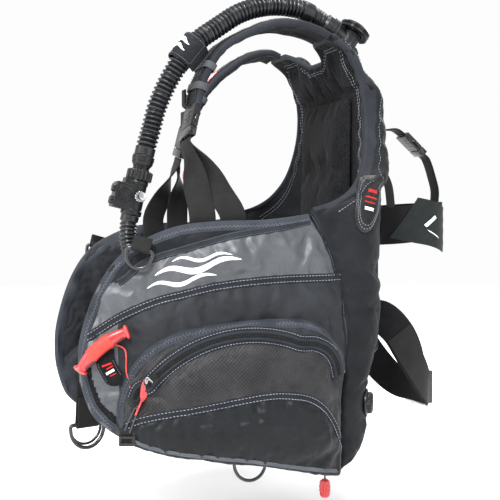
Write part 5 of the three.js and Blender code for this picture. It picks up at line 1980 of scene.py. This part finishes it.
# ---- Facings and marks on the tank bands ----
def band_patch(name, line, u0, u1, slant, width, mat, lift, thick=1.0, n=40, fall=(0, 0)):
    """A thin facing on a band: u runs along its line in points, with slanting ends."""
    rows = []
    for v in (-1, -0.5, 0, 0.5, 1):
        row, low_row = [], []
        for i in range(n + 1):
            u = clamp(lerp(u0, u1, i / n) + slant * v, 0, len(line) - 1.001)
            k = int(u)
            p = line[k].lerp(line[k + 1], u - k)
            t = (line[k + 1] - line[k]).normalized()
            side = (Z_AXIS - t * t.z).normalized()
            up = t.cross(side).normalized()
            p = p + Z_AXIS * lerp(fall[0], fall[1], i / n) * MM
            row.append((p + side * v * width / 2 * MM + up * (lift + thick) * MM, (i / n, v)))
            low_row.append((p + side * v * width / 2 * MM + up * lift * MM, (i / n, v)))
        rows.append((row, low_row))
    verts, cloth, faces = [], [], []
    m = n + 1
    for face_side in (0, 1):
        for r in rows:
            for p, (u, v) in r[face_side]:
                verts.append(p)
                cloth.append((u * line_length(line) * abs(u1 - u0) / len(line), v * width / 2 * MM, 0))
    for face_side in (0, 1):
        base = face_side * 5 * m
        for r in range(4):
            for i in range(n):
                faces.append((base + r * m + i, base + r * m + i + 1, base + (r + 1) * m + i + 1,
                    base + (r + 1) * m + i))
    edge = [(0, i) for i in range(n)] + [(r, n) for r in range(4)] + [(4, i) for i in range(n, 0, -1)] + [(r,
        0) for r in range(4, 0, -1)]
    for (r, i), (q, j) in zip(edge, edge[1:] + edge[:1]):
        faces.append((r * m + i, q * m + j, 5 * m + q * m + j, 5 * m + r * m + i))
    ob = new_object(name, verts, faces, mat, cloth=cloth, sharp=60)
    return finish_piece(ob, "vest", "webbing")


def nearest(line, x, y):
    return min(range(len(line)),
        key=lambda i: (line[i].x / MM - x) ** 2 + (line[i].y / MM - y) ** 2 + (0 if i > 110 else 1e6))


i0, i1 = nearest(upper_line, 78, 58), nearest(upper_line, 30, 149)
band_patch("upper_band_facing", upper_line, i0, i1, 9, 56, "olive", 1.6, 1.4, fall=(10, -22))
band_patch("upper_band_tail", upper_line, i1, nearest(upper_line, -50, 149.5), 3, 54, "olive", 1.6, 1.0,
    fall=(0, 0))
j0 = nearest(upper_line, 77, 98)
for k in range(2):
    rise = -18 if k else 2
    band_patch("upper_band_mark_%d" % k, upper_line, j0 + 1 + k * 2.5, j0 + 2.6 + k * 2.5, -4 if k else 4,
        12, "white", 3.2, 0.5, n=4, fall=(rise, rise - 4))
k0, k1 = nearest(lower_line, 76, 52), nearest(lower_line, 40, 118)
band_patch("lower_band_facing", lower_line, k0, k1, 0, 44, "webbing", 1.5)


webbing("upper_band_lifter", [(4, 24, 180), (24, 36, 142), (54, 44, 102), (73.5, 40, 64)], 13, 1.8,
    lambda t: Vector((0.25, 0.97, 0)), "vest", count=50)


# ---- Rings, in finer wire than the CAD's ----
def d_ring(name, m, width, height, wire, body, node, mat):
    half, r = width / 2, 6
    pts = [(half * math.cos(math.pi * i / 12), -r - (height - r) * math.sin(math.pi * i / 12), 0)
        for i in range(13)]
    pts += [(-half, -2.5, 0), (-half + 2.2, -0.4, 0), (-half + 6, 0, 0), (0, 0, 0), (half - 6, 0, 0),
        (half - 2.2, -0.4, 0), (half, -2.5, 0)]
    closed = [Vector(q) * MM for q in pts]
    dense = []
    n = len(closed)
    for i in range(n):
        p0, p1, p2, p3 = closed[i - 1], closed[i], closed[(i + 1) % n], closed[(i + 2) % n]
        for k in range(6):
            t = k / 6
            dense.append(0.5 * (
                (2 * p1) + (p2 - p0) * t + (2 * p0 - 5 * p1 + 4 * p2 - p3) * t * t
                + (3 * p1 - p0 - 3 * p2 + p3) * t ** 3))
    line = [m @ q for q in dense]
    axis = m.to_3x3() @ Vector((0, 0, 1))
    ob = sweep(name, line, lambda t: round_ring(wire * MM, 12), mat, closed=True, frames=lambda t, tan: axis)
    finish_piece(ob, body, "steel")
    if node:
        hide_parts(node)
    return ob


for side, side_name in ((1, "left"), (-1, "right")):
    d_ring("lobe_d_ring_" + side_name, patch_matrix(*LOBE_RING_SPOT, side), 34, 25, 2.5,
        side_name + "_lobe_ring", "lobe_ring_" + side_name, "black_steel")
d_ring("hip_d_ring", patch_matrix(*HIP_RING_SPOT), 44, 30, 2.3, "left_hip_ring", "hip_ring", "black_steel")
WAIST_M = patch_matrix(512, -262, -22, 0, -1)
d_ring("waist_d_ring", WAIST_M, 58, 36, 3.0, "right_waist_ring", "waist_ring", "black_steel")
d_ring("waist_d_ring_inner", WAIST_M @ Matrix.Translation((0, 0.0002, 0.0052)), 52, 31, 2.2,
    "right_waist_ring", None, "black_steel")


# ---- Stitching on the loose webbing ----
def box_stitch(name, at, lengthways, crossways, out, length, width, body, mat="thread_grey"):
    """A sewn box with a cross, on webbing: the axes are unit vectors and the sizes millimetres."""
    t = Threads()
    c = [at + lengthways * a * length / 2 * MM + crossways * b * width / 2 * MM for a,
        b in ((-1, -1), (1, -1), (1, 1), (-1, 1))]
    for a, b in ((0, 1), (1, 2), (2, 3), (3, 0), (0, 2), (1, 3)):
        t.sew_line([c[a], c[b]], out, pitch=2.8, length=2.0, r=0.34)
    ob = t.made(name, mat)
    finish_piece(ob, body, "webbing")


box_stitch("waist_stitching", wrap(-1, 511, -238, -22.6), Z_AXIS,
    Vector((-math.cos(plan(508)[2]), math.sin(plan(508)[2]), 0)), -outward(-1, 508), 20, 30, "vest",
    "thread_grey")


# ---- Ribs and release arms that finish the buckles ----
def buckle_trim(tag, up, mouth, wide, deep, socket_body, prong_body):
    m = basis(mouth, up, X_AXIS if abs(up.x) < 0.8 else Z_AXIS)
    for k, z in enumerate((10, 16, 22)):
        for f in (-1, 1):
            block("%s_rib_%d%s" % (tag, k, "a" if f > 0 else "b"),
                [(wide * 0.5, 1.2, 2.2, 0, f * (deep / 2 + 0.2), z)], "gloss", socket_body, m, bevel=0.5,
                segments=2)
    for sx in (-1, 1):
        pts = [m @ (Vector((sx * x, 0, z)) * MM) / MM for x,
            z in ((wide * 0.30, -3), (wide * 0.45, 1), (wide / 2 + 0.6, 7), (wide / 2 + 0.4, 13),
            (wide * 0.44, 16))]
        tube("%s_arm_%s" % (tag, "a" if sx > 0 else "b"), pts, 1.8, prong_body, "gloss", 24, 10,
             ring=lambda t: [(x * 1.7 * MM, y * deep * 0.3 * MM) for x, y in round_ring(1, 12)])


buckle_trim("shoulder_buckle_left", LEFT_UP, LEFT_MOUTH, 46, 10, "vest", "left_prong")
buckle_trim("shoulder_buckle_right", RIGHT_UP, RIGHT_MOUTH, 46, 10, "vest", "right_prong")
buckle_trim("upper_buckle", UPPER_UP, UPPER_MOUTH, 30, 9, "vest", "upper_prong_end")

# ---- A striped label on the far shoulder pad ----
st, tree, pad = straps["right"]
for k in range(7):
    v = -12 + k * 4.0
    ob = strip("pad_label_stripe_%d" % k, st.at, tree, [(st.length * 0.5, v), (st.length * 0.5 + 13, v),
        (st.length * 0.5 + 27, v)], 2.0 if k % 2 else 2.1, "red_print" if k % 2 == 0 else "white", lift=2.5,
        count=12)
    finish_piece(ob, "vest", "webbing")

# --- end ---
low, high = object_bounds()
{"cad": [list(cad_low), list(cad_high)], "visual": [list(low), list(high)]}
